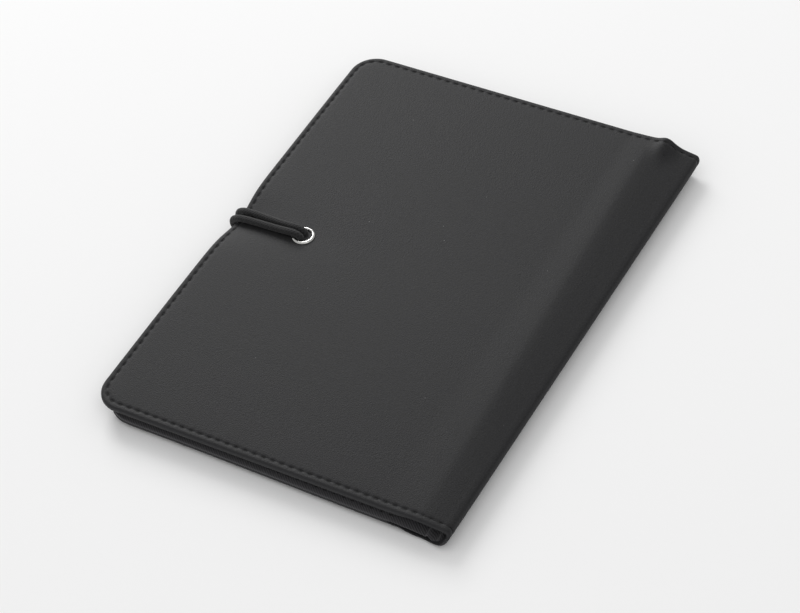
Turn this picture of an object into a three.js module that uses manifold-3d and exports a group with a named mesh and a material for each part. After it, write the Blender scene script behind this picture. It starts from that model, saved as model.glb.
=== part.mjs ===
// A closed A5 portfolio folder with soft black covers, a bright eyelet and an elastic loop.
// Millimetres, +Z up. While the pieces are made, x runs from the fore-edge (0) to the spine,
// y from the tail edge (0) to the head, and z from the table. The finished group is moved so
// that its origin is the middle of its footprint.
import * as THREE from "three";
import { mergeVertices } from "three/addons/utils/BufferGeometryUtils.js";
import Module from "manifold-3d";

// Overall sizes
const LENGTH = 235;
const SPINE_X = 173.5;
const FRONT_PANEL = 148;
const BACK_PANEL = 150;
const CORNER = 12;
const BACK_INSET = 1.5;

// The back cover is narrower at the fore-edge by this much. The closed folder is a little
// askew: the back cover lies towards the tail, and the bend bulges that way some more.
const BACK_FORE = 3;
const BACK_SHIFT = -1.8;
const BEND_SHIFT = -1.4;

// Heights of the two cover stacks in the middle of the folder
const BACK_LIFT = 3.0;
const BACK_THICK = 2.8;
const COVER_GAP = 1.4;
const FRONT_THICK = 4.0;

// Layers of a cover
const CLOTH = 0.6;
const TURN_IN_CLOTH = 0.5;
const LINING = 0.4;
const FRONT_BOARD = 1.2;
const BACK_BOARD = 0.9;
const LAYER_GAP = 0.1;
const TURN_IN = 12;
const BACK_TURN_IN = 9;
const LINING_INSET = 2.5;
const BACK_LINING_INSET = 2;
const EDGE_ROLL = 0.9;
const BACK_EDGE_ROLL = 0.55;
const SEAT_GAP = 0.3;

// How the closed folder sags towards its tail and head, and how the loop pinches it
const TAIL_SAG = 1.6;
const HEAD_SAG = 0.5;
const PINCH_TOP = 2.5;
const PINCH_INSIDE = 0.9;
const PINCH_REACH = 18;
const PINCH_WIDTH = 13;
const EDGE_SQUEEZE = 1.2;
const DENT_BELOW = 1.6;
const DENT_INSIDE = 0.4;
const DENT_END = 60;

// Spine
const FOLD_GAP = 0.3;
const SHOULDER_X = 171;
const SHOULDER_Z = 8.8;
const CREST_RISE_TAIL = 0.4;
const CREST_RISE_HEAD = 1.0;
const CREST_PLACE_TAIL = 0.74;
const CREST_PLACE_HEAD = 0.2;
const SPINE_CLOTH = 0.7;
const SPINE_LINING = 0.5;
const LINING_STRIP_END = 0.86;
const BUCKLE = 0.5;
const BUCKLE_TURN = 2.2;
const BUCKLE_DRIFT = 9;

// Section of the bend: how far each point is inside the spine edge, and its height
const BEND_FOOT = 20;
const BEND_FOOT_SHARE = 0.4;
const BEND = [
  [16.5, 0],
  [9.5, 0],
  [5, 0.8],
  [2, 2.8],
  [0.3, 5.4],
  [0.1, 6.6],
];
const SHOULDER_IN = 0.9;
const SHOULDER_DROP = 0.6;

// Closure
const CORD_Y = 118.9;
const CORD_DIAMETER = 3.2;
const EYELET_X = 35.4;
const EYELET_BORE = 3.55;
const EYELET_WALL = 0.3;
const EYELET_RIM = 4.4;
const EYELET_ROLL = 0.85;
const EYELET_CLEARANCE = 0.15;
const WASHER_RADIUS = 6.2;
const WASHER_THICK = 0.35;
const CLAMP_RADIUS = 5;
const CLAMP_THICK = 1.3;
const CLAMP_POCKET = 7.5;
const BUTTON_X = 30;
const BUTTON_HEAD = 6.5;
const BUTTON_HEAD_THICK = 0.9;
const BUTTON_STEM = 2.4;

// Inside fittings
const POCKET_CLOTH = 0.35;
const POCKET_START = 14;
const POCKET_SIDE = 9;
const PAD_PANEL_START = 64;
const PAD_PANEL_CLOTH = 0.45;
const PEN_LOOP_LENGTH = 24;
const PEN_LOOP_WIDE = 11;
const PEN_LOOP_TALL = 6.6;
const PEN_LOOP_WALL = 0.7;
const PEN_LOOP_REACH = 7.6;
const PEN_TAB = 12;

// How far cutting shapes reach past what they cut, as a length and as a share of a stack
const PAST = 1;
const PAST_SHARE = 0.1;

// Share of a flat fitting's thickness that its rounded edge takes
const FITTING_EDGE = 0.3;

const MID_Y = LENGTH / 2;
const BACK_TOP = BACK_LIFT + BACK_THICK;
const FRONT_BASE = BACK_TOP + COVER_GAP;
const FRONT_TOP = FRONT_BASE + FRONT_THICK;
const CORD_RADIUS = CORD_DIAMETER / 2;
const PEN_LOOP_X = BACK_PANEL + PEN_LOOP_REACH;

const wasm = await Module();
wasm.setup();

const cloth = { color: 0x242426, roughness: 0.82, metalness: 0 };
const twill = { color: 0x17171a, roughness: 0.9, metalness: 0 };
const card = { color: 0x8a8175, roughness: 0.9, metalness: 0 };
const foam = { color: 0x3a3a3d, roughness: 0.95, metalness: 0 };
const nickel = { color: 0xd8d6d2, roughness: 0.16, metalness: 1 };
const braid = { color: 0x151517, roughness: 0.85, metalness: 0 };

// Closed solid of a geometry, for cutting and joining.
function toSolid(geometry) {
  const bare = new THREE.BufferGeometry();
  const source = geometry.index ? geometry.toNonIndexed() : geometry;
  bare.setAttribute("position", source.getAttribute("position").clone());
  const merged = mergeVertices(bare, 1e-4);
  return new wasm.Manifold(
    new wasm.Mesh({
      numProp: 3,
      vertProperties: merged.attributes.position.array,
      triVerts: new Uint32Array(merged.index.array),
    }),
  );
}

function toGeometry(solid) {
  const mesh = solid.getMesh();
  const geometry = new THREE.BufferGeometry();
  geometry.setAttribute("position", new THREE.BufferAttribute(mesh.vertProperties, 3));
  geometry.setIndex(new THREE.BufferAttribute(mesh.triVerts, 1));
  geometry.computeVertexNormals();
  return geometry;
}

// A box with a grid of faces whose corners are put where place(i, j, k) says.
function blanket(columns, rows, place) {
  const box = new THREE.BoxGeometry(1, 1, 1, columns, rows, 1);
  const position = box.getAttribute("position");
  for (let n = 0; n < position.count; n++) {
    const i = Math.round((position.getX(n) + 0.5) * columns);
    const j = Math.round((position.getY(n) + 0.5) * rows);
    const k = Math.round(position.getZ(n) + 0.5);
    position.setXYZ(n, ...place(i, j, k));
  }
  box.computeVertexNormals();
  return box;
}

function smooth(from, to, value) {
  const t = Math.min(1, Math.max(0, (value - from) / (to - from)));
  return t * t * (3 - 2 * t);
}

// The whole folder sags a little from its middle to its tail and its head.
function sag(y) {
  const q = (y - MID_Y) / MID_Y;
  return -(q < 0 ? TAIL_SAG : HEAD_SAG) * q * q;
}

// 1 under the loop at the fore-edge, fading along the cover and to both sides.
function pinch(x, y) {
  const side = (y - CORD_Y) / PINCH_WIDTH;
  return Math.exp(-side * side) * Math.exp(-Math.max(0, x) / PINCH_REACH);
}

function dent(x, y) {
  const side = (y - CORD_Y) / PINCH_WIDTH;
  const from = BUTTON_X + BUTTON_HEAD;
  return Math.exp(-side * side) * (1 - smooth(from, DENT_END, x));
}

function squeeze(x, y) {
  const side = (y - CORD_Y) / PINCH_WIDTH;
  return EDGE_SQUEEZE * Math.exp(-side * side) * Math.max(0, 1 - x / PINCH_REACH);
}

// Height in the front stack at share s of its thickness, from the lining up to the cloth.
function frontHeight(x, y, s) {
  const p = pinch(x, y);
  const low = FRONT_BASE - PINCH_INSIDE * p;
  const high = FRONT_TOP - PINCH_TOP * p;
  return low + (high - low) * s + sag(y);
}

// Height in the back stack at share s of its thickness, from the cloth up to the lining.
function backHeight(x, y, s) {
  const d = dent(x, y);
  const low = BACK_LIFT + DENT_BELOW * d;
  const high = BACK_TOP + DENT_INSIDE * d;
  return low + (high - low) * s + sag(y);
}

const frontShare = (height) => height / FRONT_THICK;
const backShare = (height) => height / BACK_THICK;

// Columns of a panel: round the two corners at the fore-edge, then along the panel.
function columnsFor(inset, end) {
  const radius = CORNER - inset;
  const columns = [];
  for (const turn of [0, 0.25, 0.5, 0.75, 1]) {
    columns.push(inset + radius * (1 - Math.cos((turn * Math.PI) / 2)));
  }
  for (const share of [0.08, 0.17, 0.3, 0.5, 0.75, 1]) {
    columns.push(CORNER + (end - CORNER) * share);
  }
  return columns;
}

// Rows across a panel as shares of its width, closer together at the edges and the loop.
function rowsFor() {
  const cordShare = CORD_Y / LENGTH;
  const near = [0, 0.008, 0.13, 0.26, cordShare - 0.15, cordShare - 0.09];
  const middle = [cordShare - 0.045, cordShare, cordShare + 0.045];
  const far = [cordShare + 0.09, cordShare + 0.15, 0.76, 0.88, 0.992, 1];
  return [...near, ...middle, ...far];
}

function cornerInset(x, inset) {
  const radius = CORNER - inset;
  const reach = Math.min(radius, Math.max(0, CORNER - x));
  return inset + radius - Math.sqrt(Math.max(0, radius * radius - reach * reach));
}

// A layer of a cover between two heights of its stack, inset from three edges.
function layer({ heightAt, inset, end, low, high, roll = 0, rollLow = 0, fore = 0, shift = 0 }) {
  const columns = columnsFor(inset, end - fore);
  const rows = rowsFor();
  const lastRow = rows.length - 1;
  return blanket(columns.length - 1, lastRow, (i, j, k) => {
    const x = fore + columns[i];
    const side = cornerInset(columns[i], inset);
    const y = shift + side + (LENGTH - 2 * side) * rows[j];
    const edge = Math.min(i, j, lastRow - j);
    const share = edge === 0 ? 1 : edge === 1 ? 0.28 : 0;
    const drop = k === 1 ? -roll * share : rollLow * share;
    return [x + squeeze(x, y), y, heightAt(x, y, k ? high : low) + drop];
  });
}

// A cover's cloth: the outer face, the three turned edges and the strip turned inside.
function frontCloth() {
  const turnLow = frontShare(LINING + LAYER_GAP);
  const turnHigh = frontShare(LINING + LAYER_GAP + TURN_IN_CLOTH);
  const top = frontShare(FRONT_THICK - CLOTH);
  const whole = toSolid(
    layer({ heightAt: frontHeight, inset: 0, end: FRONT_PANEL, low: turnLow, high: 1, roll: EDGE_ROLL }),
  );
  const hollow = toSolid(
    layer({ heightAt: frontHeight, inset: CLOTH, end: FRONT_PANEL + PAST, low: turnHigh, high: top }),
  );
  const window = toSolid(
    insetPanel({
      heightAt: frontHeight,
      inset: TURN_IN,
      end: FRONT_PANEL + PAST,
      low: -PAST_SHARE,
      high: (turnHigh + top) / 2,
    }),
  );
  const hole = toSolid(verticalDrum(EYELET_X, CORD_Y, holeRadius(), FRONT_BASE, FRONT_TOP + PAST));
  return toGeometry(whole.subtract(hollow).subtract(window).subtract(hole));
}

function backCloth() {
  const under = backShare(CLOTH);
  const turnHigh = backShare(BACK_THICK - LINING - LAYER_GAP);
  const turnLow = backShare(BACK_THICK - LINING - LAYER_GAP - TURN_IN_CLOTH);
  const whole = toSolid(
    layer({
      heightAt: backHeight,
      inset: BACK_INSET,
      end: BACK_PANEL,
      low: 0,
      high: turnHigh,
      rollLow: BACK_EDGE_ROLL,
      fore: BACK_FORE,
      shift: BACK_SHIFT,
    }),
  );
  const hollow = toSolid(
    layer({
      heightAt: backHeight,
      inset: BACK_INSET + CLOTH,
      end: BACK_PANEL + PAST,
      low: under,
      high: turnLow,
      fore: BACK_FORE,
      shift: BACK_SHIFT,
    }),
  );
  const window = toSolid(
    insetPanel({
      heightAt: backHeight,
      inset: BACK_INSET + BACK_TURN_IN,
      start: BACK_FORE + BACK_INSET + BACK_TURN_IN,
      end: BACK_PANEL + PAST,
      low: (under + turnLow) / 2,
      high: 1 + PAST_SHARE,
      shift: BACK_SHIFT,
    }),
  );
  const hole = toSolid(verticalDrum(BUTTON_X, CORD_Y, BUTTON_STEM + SEAT_GAP, 0, FRONT_BASE));
  return toGeometry(whole.subtract(hollow).subtract(window).subtract(hole));
}

// A rectangular sheet in a stack, its straight sides inset from the fore-edge, tail and head.
function insetPanel({ heightAt, inset, end, low, high, start = inset, shift = 0 }) {
  const columns = [0, 0.06, 0.14, 0.24, 0.4, 0.7, 1].map((share) => start + (end - start) * share);
  const rows = rowsFor().filter((_, n, all) => n !== 1 && n !== all.length - 2);
  return blanket(columns.length - 1, rows.length - 1, (i, j, k) => {
    const x = columns[i];
    const y = shift + inset + (LENGTH - 2 * inset) * rows[j];
    return [x, y, heightAt(x, y, k ? high : low)];
  });
}

function verticalDrum(x, y, radius, low, high, sides = 28) {
  const drum = new THREE.CylinderGeometry(radius, radius, high - low, sides);
  drum.rotateX(Math.PI / 2);
  drum.translate(x, y, (low + high) / 2);
  return drum;
}

const holeRadius = () => EYELET_BORE + EYELET_WALL + EYELET_CLEARANCE;

function frontBoard() {
  const low = LINING + TURN_IN_CLOTH + 2 * LAYER_GAP;
  const inset = CLOTH + SEAT_GAP;
  const board = toSolid(
    layer({
      heightAt: frontHeight,
      inset,
      end: FRONT_PANEL - SEAT_GAP,
      low: frontShare(low + LAYER_GAP),
      high: frontShare(low + LAYER_GAP + FRONT_BOARD),
    }),
  );
  const pocket = toSolid(verticalDrum(EYELET_X, CORD_Y, CLAMP_POCKET, 0, FRONT_TOP + PAST));
  return toGeometry(board.subtract(pocket));
}

function frontPadding() {
  const low = LINING + TURN_IN_CLOTH + 5 * LAYER_GAP + FRONT_BOARD;
  const inset = CLOTH + 4 * SEAT_GAP;
  const padding = toSolid(
    layer({
      heightAt: frontHeight,
      inset,
      end: FRONT_PANEL - SEAT_GAP,
      low: frontShare(low),
      high: frontShare(FRONT_THICK - CLOTH - LAYER_GAP),
    }),
  );
  const pocket = toSolid(verticalDrum(EYELET_X, CORD_Y, CLAMP_POCKET, 0, FRONT_TOP + PAST));
  return toGeometry(padding.subtract(pocket));
}

function frontLining() {
  return layer({
    heightAt: frontHeight,
    inset: LINING_INSET,
    end: FRONT_PANEL - SEAT_GAP,
    low: 0,
    high: frontShare(LINING),
  });
}

function backBoard() {
  const board = toSolid(
    layer({
      heightAt: backHeight,
      inset: BACK_INSET + CLOTH + SEAT_GAP,
      end: BACK_PANEL - SEAT_GAP,
      low: backShare(CLOTH + LAYER_GAP),
      high: backShare(CLOTH + LAYER_GAP + BACK_BOARD),
      fore: BACK_FORE,
      shift: BACK_SHIFT,
    }),
  );
  const hole = toSolid(verticalDrum(BUTTON_X, CORD_Y, BUTTON_STEM + SEAT_GAP, 0, FRONT_BASE));
  return toGeometry(board.subtract(hole));
}

function backLining() {
  return layer({
    heightAt: backHeight,
    inset: BACK_LINING_INSET,
    end: BACK_PANEL - SEAT_GAP,
    low: backShare(BACK_THICK - LINING),
    high: 1,
    fore: BACK_FORE,
    shift: BACK_SHIFT,
  });
}

function documentPocket() {
  return insetPanel({
    heightAt: frontHeight,
    inset: POCKET_SIDE,
    start: POCKET_START,
    end: FRONT_PANEL - POCKET_SIDE,
    low: frontShare(-LAYER_GAP - POCKET_CLOTH),
    high: frontShare(-LAYER_GAP),
  });
}

function padPanel() {
  return insetPanel({
    heightAt: backHeight,
    inset: POCKET_SIDE,
    start: PAD_PANEL_START,
    end: BACK_PANEL - PEN_TAB - 2 * SEAT_GAP,
    low: backShare(BACK_THICK + LAYER_GAP),
    high: backShare(BACK_THICK + LAYER_GAP + PAD_PANEL_CLOTH),
    shift: BACK_SHIFT,
  });
}

// Spine sections: points of the outer face at a share of the length from the tail. The strip
// rises a little to its crest and then rolls down to the shoulder.
function stripPoint(share, along) {
  const startX = FRONT_PANEL + FOLD_GAP;
  const startZ = FRONT_TOP + sag(LENGTH * share);
  const crest = CREST_PLACE_TAIL + (CREST_PLACE_HEAD - CREST_PLACE_TAIL) * share;
  const rise = CREST_RISE_TAIL + (CREST_RISE_HEAD - CREST_RISE_TAIL) * share;
  const crestZ = startZ + rise;
  const turn = (Math.max(0, along - crest) / (1 - crest)) * (Math.PI / 2);
  const x = startX + (SHOULDER_X - startX) * along;
  const rising = startZ + rise * smooth(0, crest, along);
  const falling = SHOULDER_Z + (crestZ - SHOULDER_Z) * Math.cos(turn);
  return new THREE.Vector2(x, along < crest ? rising : falling);
}

function bendPoints(share) {
  const y = LENGTH * share;
  const startZ = BACK_LIFT + sag(y);
  return [
    new THREE.Vector2(BACK_PANEL + FOLD_GAP, startZ),
    new THREE.Vector2(SPINE_X - BEND_FOOT, startZ * BEND_FOOT_SHARE),
    ...BEND.map(([inside, height]) => new THREE.Vector2(SPINE_X - inside, height)),
    new THREE.Vector2(SPINE_X - SHOULDER_IN, SHOULDER_Z - SHOULDER_DROP),
  ];
}

// The bend's cloth draws over towards the tail from its shoulder down to the back cover.
const BEND_LAST = BEND.length + 2;

function bendShift(i) {
  const drawn = BACK_SHIFT * (1 - smooth(0, BEND_LAST, i));
  return drawn + BEND_SHIFT * Math.sin((Math.PI * i) / BEND_LAST);
}

// A sheet along the spine. outer(share) gives its section's outer points, and its thickness
// goes inward, which is to the left of the way the section runs.
function spineSheet(outer, from, thickness, inset, shiftAt = () => 0, rows = 8) {
  const shares = Array.from({ length: rows + 1 }, (_, j) => (inset + ((LENGTH - 2 * inset) * j) / rows) / LENGTH);
  const sections = shares.map((share) => outer(share));
  const last = sections[0].length - 1;
  return blanket(last, rows, (i, j, k) => {
    const points = sections[j];
    const ahead = points[Math.min(last, i + 1)];
    const behind = points[Math.max(0, i - 1)];
    const run = ahead.clone().sub(behind).normalize();
    const depth = from + thickness * k;
    const y = LENGTH * shares[j] + shiftAt(i);
    return [points[i].x - run.y * depth, y, points[i].y + run.x * depth];
  });
}

const STRIP_STEPS = [1, 0.9, 0.75, 0.6, 0.48, 0.35, 0.22, 0.1, 0];
const stripSection = (share) => STRIP_STEPS.map((along) => stripPoint(share, along));
const stripLiningSection = (share) =>
  STRIP_STEPS.slice(1).map((along) => stripPoint(share, Math.min(LINING_STRIP_END, along)));

// The lining inside the bend is longer than its space, so it buckles.
function bendLiningSection(share) {
  const points = bendPoints(share).slice(0, BEND_LAST - 1);
  return points.map((point, n) => {
    const wave = BUCKLE + BUCKLE * Math.sin(n * BUCKLE_TURN + share * BUCKLE_DRIFT);
    const start = n === 0 ? BACK_THICK - LINING - SPINE_CLOTH - SEAT_GAP : 0;
    const buckled = n > 1 && n < points.length - 2;
    return new THREE.Vector2(point.x, point.y + start + (buckled ? wave : 0));
  });
}

function penLoop() {
  const outline = new THREE.Shape();
  outline.absellipse(0, 0, PEN_LOOP_WIDE / 2, PEN_LOOP_TALL / 2, 0, 2 * Math.PI);
  const bore = new THREE.Path();
  const boreWide = PEN_LOOP_WIDE / 2 - PEN_LOOP_WALL;
  const boreTall = PEN_LOOP_TALL / 2 - PEN_LOOP_WALL;
  bore.absellipse(0, 0, boreWide, boreTall, 0, 2 * Math.PI);
  outline.holes.push(bore);
  const tube = new THREE.ExtrudeGeometry(outline, {
    depth: PEN_LOOP_LENGTH,
    bevelEnabled: false,
    curveSegments: 20,
  });
  tube.rotateX(Math.PI / 2);
  tube.translate(PEN_LOOP_X, CORD_Y + PEN_LOOP_LENGTH / 2, penLoopZ());
  const tabEnd = PEN_LOOP_X - PEN_LOOP_WIDE / 2 + PEN_LOOP_WALL * 0.7;
  const tabStart = BACK_PANEL - PEN_TAB;
  const tab = new THREE.BoxGeometry(tabEnd - tabStart, PEN_LOOP_LENGTH, PEN_LOOP_WALL);
  tab.translate((tabStart + tabEnd) / 2, CORD_Y, penLoopZ());
  return toGeometry(toSolid(tube).add(toSolid(tab)));
}

const penLoopZ = () => BACK_TOP + LAYER_GAP + PEN_LOOP_WALL / 2;

function lathe(points, sides = 28) {
  const geometry = new THREE.LatheGeometry(
    points.map(([r, z]) => new THREE.Vector2(r, z)),
    sides,
  );
  geometry.rotateX(Math.PI / 2);
  return geometry;
}

const eyeletFace = () => frontHeight(EYELET_X, CORD_Y, 1);

// A rolled rim on the cloth, a barrel through it and a clinched lower end.
function eyelet() {
  const outer = EYELET_BORE + EYELET_WALL;
  const skirt = -CLOTH - WASHER_THICK - 2 * EYELET_CLEARANCE;
  const rim = [];
  for (let n = 0; n <= 8; n++) {
    const turn = Math.PI * (1 - n / 8);
    rim.push([
      EYELET_RIM + EYELET_ROLL * Math.cos(turn),
      EYELET_CLEARANCE + EYELET_ROLL * Math.sin(turn),
    ]);
  }
  const points = [
    [EYELET_BORE, skirt],
    ...rim,
    [outer, EYELET_CLEARANCE],
    [outer, skirt],
    [EYELET_BORE, skirt],
  ].reverse();
  const geometry = lathe(points);
  geometry.translate(EYELET_X, CORD_Y, eyeletFace());
  return geometry;
}

function ring(inner, outer, thick) {
  return lathe([
    [inner, 0],
    [outer, 0],
    [outer, thick],
    [inner, thick],
    [inner, 0],
  ]);
}

function eyeletWasher() {
  const inner = EYELET_BORE + EYELET_WALL + EYELET_CLEARANCE;
  const washer = ring(inner, WASHER_RADIUS, WASHER_THICK);
  const underCloth = frontHeight(EYELET_X, CORD_Y, frontShare(FRONT_THICK - CLOTH));
  washer.translate(EYELET_X, CORD_Y, underCloth - WASHER_THICK - 2 * EYELET_CLEARANCE);
  return washer;
}

const clampBase = () => frontHeight(EYELET_X, CORD_Y, frontShare(LINING)) + EYELET_CLEARANCE;

function cordClamp() {
  const edge = CLAMP_THICK * FITTING_EDGE;
  const clamp = lathe([
    [0, 0],
    [CLAMP_RADIUS - edge, 0],
    [CLAMP_RADIUS, edge],
    [CLAMP_RADIUS, CLAMP_THICK - edge],
    [CLAMP_RADIUS - edge, CLAMP_THICK],
    [0, CLAMP_THICK],
  ]);
  clamp.translate(EYELET_X, CORD_Y, clampBase());
  return clamp;
}

// Button: a flat head on the table side, a stem through the back board and a riveted cap.
function closureButton() {
  const stemTop = backHeight(BUTTON_X, CORD_Y, backShare(BACK_THICK - LINING - LAYER_GAP)) - SEAT_GAP;
  const edge = BUTTON_HEAD_THICK * FITTING_EDGE;
  return lathe([
    [0, 0],
    [BUTTON_HEAD - edge, 0],
    [BUTTON_HEAD, edge],
    [BUTTON_HEAD, BUTTON_HEAD_THICK - edge],
    [BUTTON_HEAD - edge, BUTTON_HEAD_THICK],
    [BUTTON_STEM, BUTTON_HEAD_THICK],
    [BUTTON_STEM, stemTop],
    [0, stemTop],
  ]).translate(BUTTON_X, CORD_Y, 0);
}

// The route of one strand, from the clamp out of the eyelet, round the fore-edge and under
// the back cover to the button: distance from the fore-edge, half the strands' spacing, height.
const STRAND = [
  [35.2, 1.68, 9.3],
  [35.2, 1.68, 10.4],
  [34.9, 1.68, 11.6],
  [33.9, 1.68, 12.85],
  [32.1, 1.7, 13.6],
  [29.8, 1.72, 13.6],
  [27, 1.76, 13.1],
  [23, 1.85, 12.6],
  [18, 1.98, 12.25],
  [12, 2.15, 11.85],
  [7, 2.3, 11.5],
  [3, 2.4, 10.9],
  [0.3, 2.45, 9.7],
  [-0.9, 2.45, 8.2],
  [-1.1, 2.45, 6.3],
  [-0.5, 2.45, 4.6],
  [0.9, 2.5, 3.2],
  [3.6, 2.6, 2.68],
  [8, 2.9, 2.62],
  [14, 3.3, 2.62],
  [20, 3.75, 2.62],
  [26, 4.15, 2.62],
  [30, 4.2, 2.62],
];
const LOOP_END_RADIUS = 4.2;

function elasticLoop() {
  const there = STRAND.map(([x, side, z]) => new THREE.Vector3(x, CORD_Y + side, z));
  const back = STRAND.map(([x, side, z]) => new THREE.Vector3(x, CORD_Y - side, z)).reverse();
  const height = STRAND[STRAND.length - 1][2];
  const end = [];
  for (const turn of [60, 30, 0, -30, -60]) {
    const angle = (turn * Math.PI) / 180;
    end.push(
      new THREE.Vector3(
        BUTTON_X + LOOP_END_RADIUS * Math.cos(angle),
        CORD_Y + LOOP_END_RADIUS * Math.sin(angle),
        height,
      ),
    );
  }
  const route = new THREE.CatmullRomCurve3([...there, ...end, ...back], false, "centripetal");
  const section = new THREE.Shape();
  section.absarc(0, 0, CORD_RADIUS, 0, 2 * Math.PI);
  return new THREE.ExtrudeGeometry(section, {
    steps: 78,
    curveSegments: 4,
    bevelEnabled: false,
    extrudePath: route,
  });
}

const folder = new THREE.Group();

function add(name, geometry, finish) {
  const mesh = new THREE.Mesh(geometry, new THREE.MeshStandardMaterial(finish));
  mesh.name = name;
  folder.add(mesh);
}

add("front_outer_cover", frontCloth(), cloth);
add("front_padding", frontPadding(), foam);
add("front_board", frontBoard(), card);
add("front_lining", frontLining(), twill);
add("document_pocket", documentPocket(), twill);
add("eyelet", eyelet(), nickel);
add("eyelet_washer", eyeletWasher(), nickel);
add("cord_clamp", cordClamp(), nickel);
add("elastic_loop", elasticLoop(), braid);
add("spine_strip", spineSheet(stripSection, 0, SPINE_CLOTH, 0), cloth);
add("spine_strip_lining", spineSheet(stripLiningSection, SPINE_CLOTH + SEAT_GAP, SPINE_LINING, 3), twill);
add("spine_bend", spineSheet(bendPoints, 0, SPINE_CLOTH, 0, bendShift), cloth);
add("bend_lining", spineSheet(bendLiningSection, SPINE_CLOTH + SEAT_GAP, SPINE_LINING, 2, bendShift), twill);
add("back_outer_cover", backCloth(), cloth);
add("back_board", backBoard(), card);
add("back_lining", backLining(), twill);
add("pad_panel", padPanel(), twill);
add("pen_loop", penLoop(), braid);
add("closure_button", closureButton(), nickel);

folder.updateMatrixWorld(true);
const box = new THREE.Box3().setFromObject(folder);
folder.position.set(-(box.min.x + box.max.x) / 2, -(box.min.y + box.max.y) / 2, -box.min.z);

export default folder;
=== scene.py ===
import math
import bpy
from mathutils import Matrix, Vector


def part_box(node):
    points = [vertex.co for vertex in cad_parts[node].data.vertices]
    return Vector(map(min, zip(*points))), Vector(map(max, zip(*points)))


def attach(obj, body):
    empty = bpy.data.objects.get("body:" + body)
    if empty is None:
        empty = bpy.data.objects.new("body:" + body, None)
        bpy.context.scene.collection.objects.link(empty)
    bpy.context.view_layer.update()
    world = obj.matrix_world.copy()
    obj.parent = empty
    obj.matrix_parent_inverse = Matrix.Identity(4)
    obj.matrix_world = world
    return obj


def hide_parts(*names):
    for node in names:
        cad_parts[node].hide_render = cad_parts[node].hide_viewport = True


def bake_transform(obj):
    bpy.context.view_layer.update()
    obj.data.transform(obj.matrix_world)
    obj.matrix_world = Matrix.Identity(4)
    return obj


bl_info = {
    "name": "Portfolio Folder",
    "version": (1, 0, 0),
    "blender": (4, 5, 0),
    "location": "3D View > Sidebar > Folder",
    "description": "A closed A5 portfolio folder in soft black cloth with an elastic loop",
    "category": "Add Mesh",
}

from types import SimpleNamespace

import bpy
import numpy as np
from bpy.props import FloatProperty, FloatVectorProperty, PointerProperty
from mathutils import Matrix, Vector

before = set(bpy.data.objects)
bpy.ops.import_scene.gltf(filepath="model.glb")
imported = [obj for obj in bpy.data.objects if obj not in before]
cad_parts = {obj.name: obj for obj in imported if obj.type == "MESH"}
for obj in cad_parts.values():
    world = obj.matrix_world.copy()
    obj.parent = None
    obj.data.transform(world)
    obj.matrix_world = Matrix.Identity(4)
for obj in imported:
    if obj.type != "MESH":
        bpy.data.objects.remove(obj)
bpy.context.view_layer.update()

# Folder coordinates are millimetres: x from the fore-edge to the spine, y from the tail
# edge to the head and z from the table. The CAD covers say where that corner is.
MM = 0.001
FORE_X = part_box("front_outer_cover")[0].x
TAIL_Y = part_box("front_outer_cover")[0].y
LENGTH = (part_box("front_outer_cover")[1].y - TAIL_Y) / MM
FRONT_PANEL = (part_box("front_outer_cover")[1].x - FORE_X) / MM
BACK_PANEL = (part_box("back_outer_cover")[1].x - FORE_X) / MM
SPINE_X = 173.5
MID_Y = LENGTH / 2
CORNER = 12.0

# How the back cover lies: smaller than the front, moved from the fore-edge and to the tail
BACK_INSET = 1.5
BACK_FORE = 3.0
BACK_SHIFT = -1.8
BACK_SLANT = -1.2
BACK_SLANT_SPAN = (30.0, 150.0)
BACK_CORNER_DRAW = 1.6
BACK_CORNER_SPAN = (20.0, 4.0)
BEND_SHIFT = -2.0

# Heights of the two covers in the middle of the folder, from the table
BACK_LIFT = 3.0
BACK_THICK = 2.8
COVER_GAP = 1.4
FRONT_THICK = 4.0
BACK_TOP = BACK_LIFT + BACK_THICK
FRONT_BASE = BACK_TOP + COVER_GAP
FRONT_TOP = FRONT_BASE + FRONT_THICK

# Sag of the closed folder, and what the loop does to the covers
TAIL_SAG = 1.6
HEAD_SAG = 0.5
HEAD_SWELL = 1.0
PINCH_TOP = 2.5
PINCH_INSIDE = 0.9
PINCH_REACH = 18.0
PINCH_WIDTH = 13.0
EDGE_SQUEEZE = 1.2
DENT_BELOW = 1.6
DENT_INSIDE = 0.4
DENT_START = 36.5
DENT_END = 60.0
DENT_PRESS = 0.45

# Spine
FOLD_GAP = 0.3
SHOULDER_X = 171.0
SHOULDER_Z = 8.8
CREST_RISE_TAIL = 0.3
CREST_RISE_HEAD = 0.4
CREST_PLACE_TAIL = 0.45
CREST_PLACE_HEAD = 0.08
FALL_EASE_TAIL = 0.5
FALL_EASE_HEAD = 0.15
RIDGE_EASE = 9.0
CURL = 2.9
CURL_X = 157.8
CURL_WIDTH = 4.3
CURL_REACH = 9.0
CLOTH_SPLIT = 160.0
STRIP_DEPTH = 1.3
RIDGE_THINNING = 7.0
STRIP_STATIONS = (CLOTH_SPLIT, 162.5, 165.0, 167.0, 169.0, SHOULDER_X)

# The bend's outside below the shoulder: distance inside the spine edge, height
BEND_OUTLINE = [
    (0.9, SHOULDER_Z - 0.6),
    (0.1, 6.6),
    (0.3, 5.4),
    (2.0, 2.8),
    (5.0, 0.8),
    (9.5, 0.03),
    (13.0, 0.03),
    (16.5, 0.06),
]
# Shares of that section: where the shift to the back cover starts and ends, and where and
# how widely the cloth swings towards the tail in between
SHIFT_SPAN = (0.31, 0.94)
SWING_PLACE = 0.42
SWING_WIDTH = 0.17
BEND_STEPS = 60
BEND_LINING_STEPS = 56
BACK_JOIN_X = BACK_PANEL - 4

# Closure
CORD_Y = 118.9
EYELET_X = 35.4
BUTTON_X = 30.0

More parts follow.
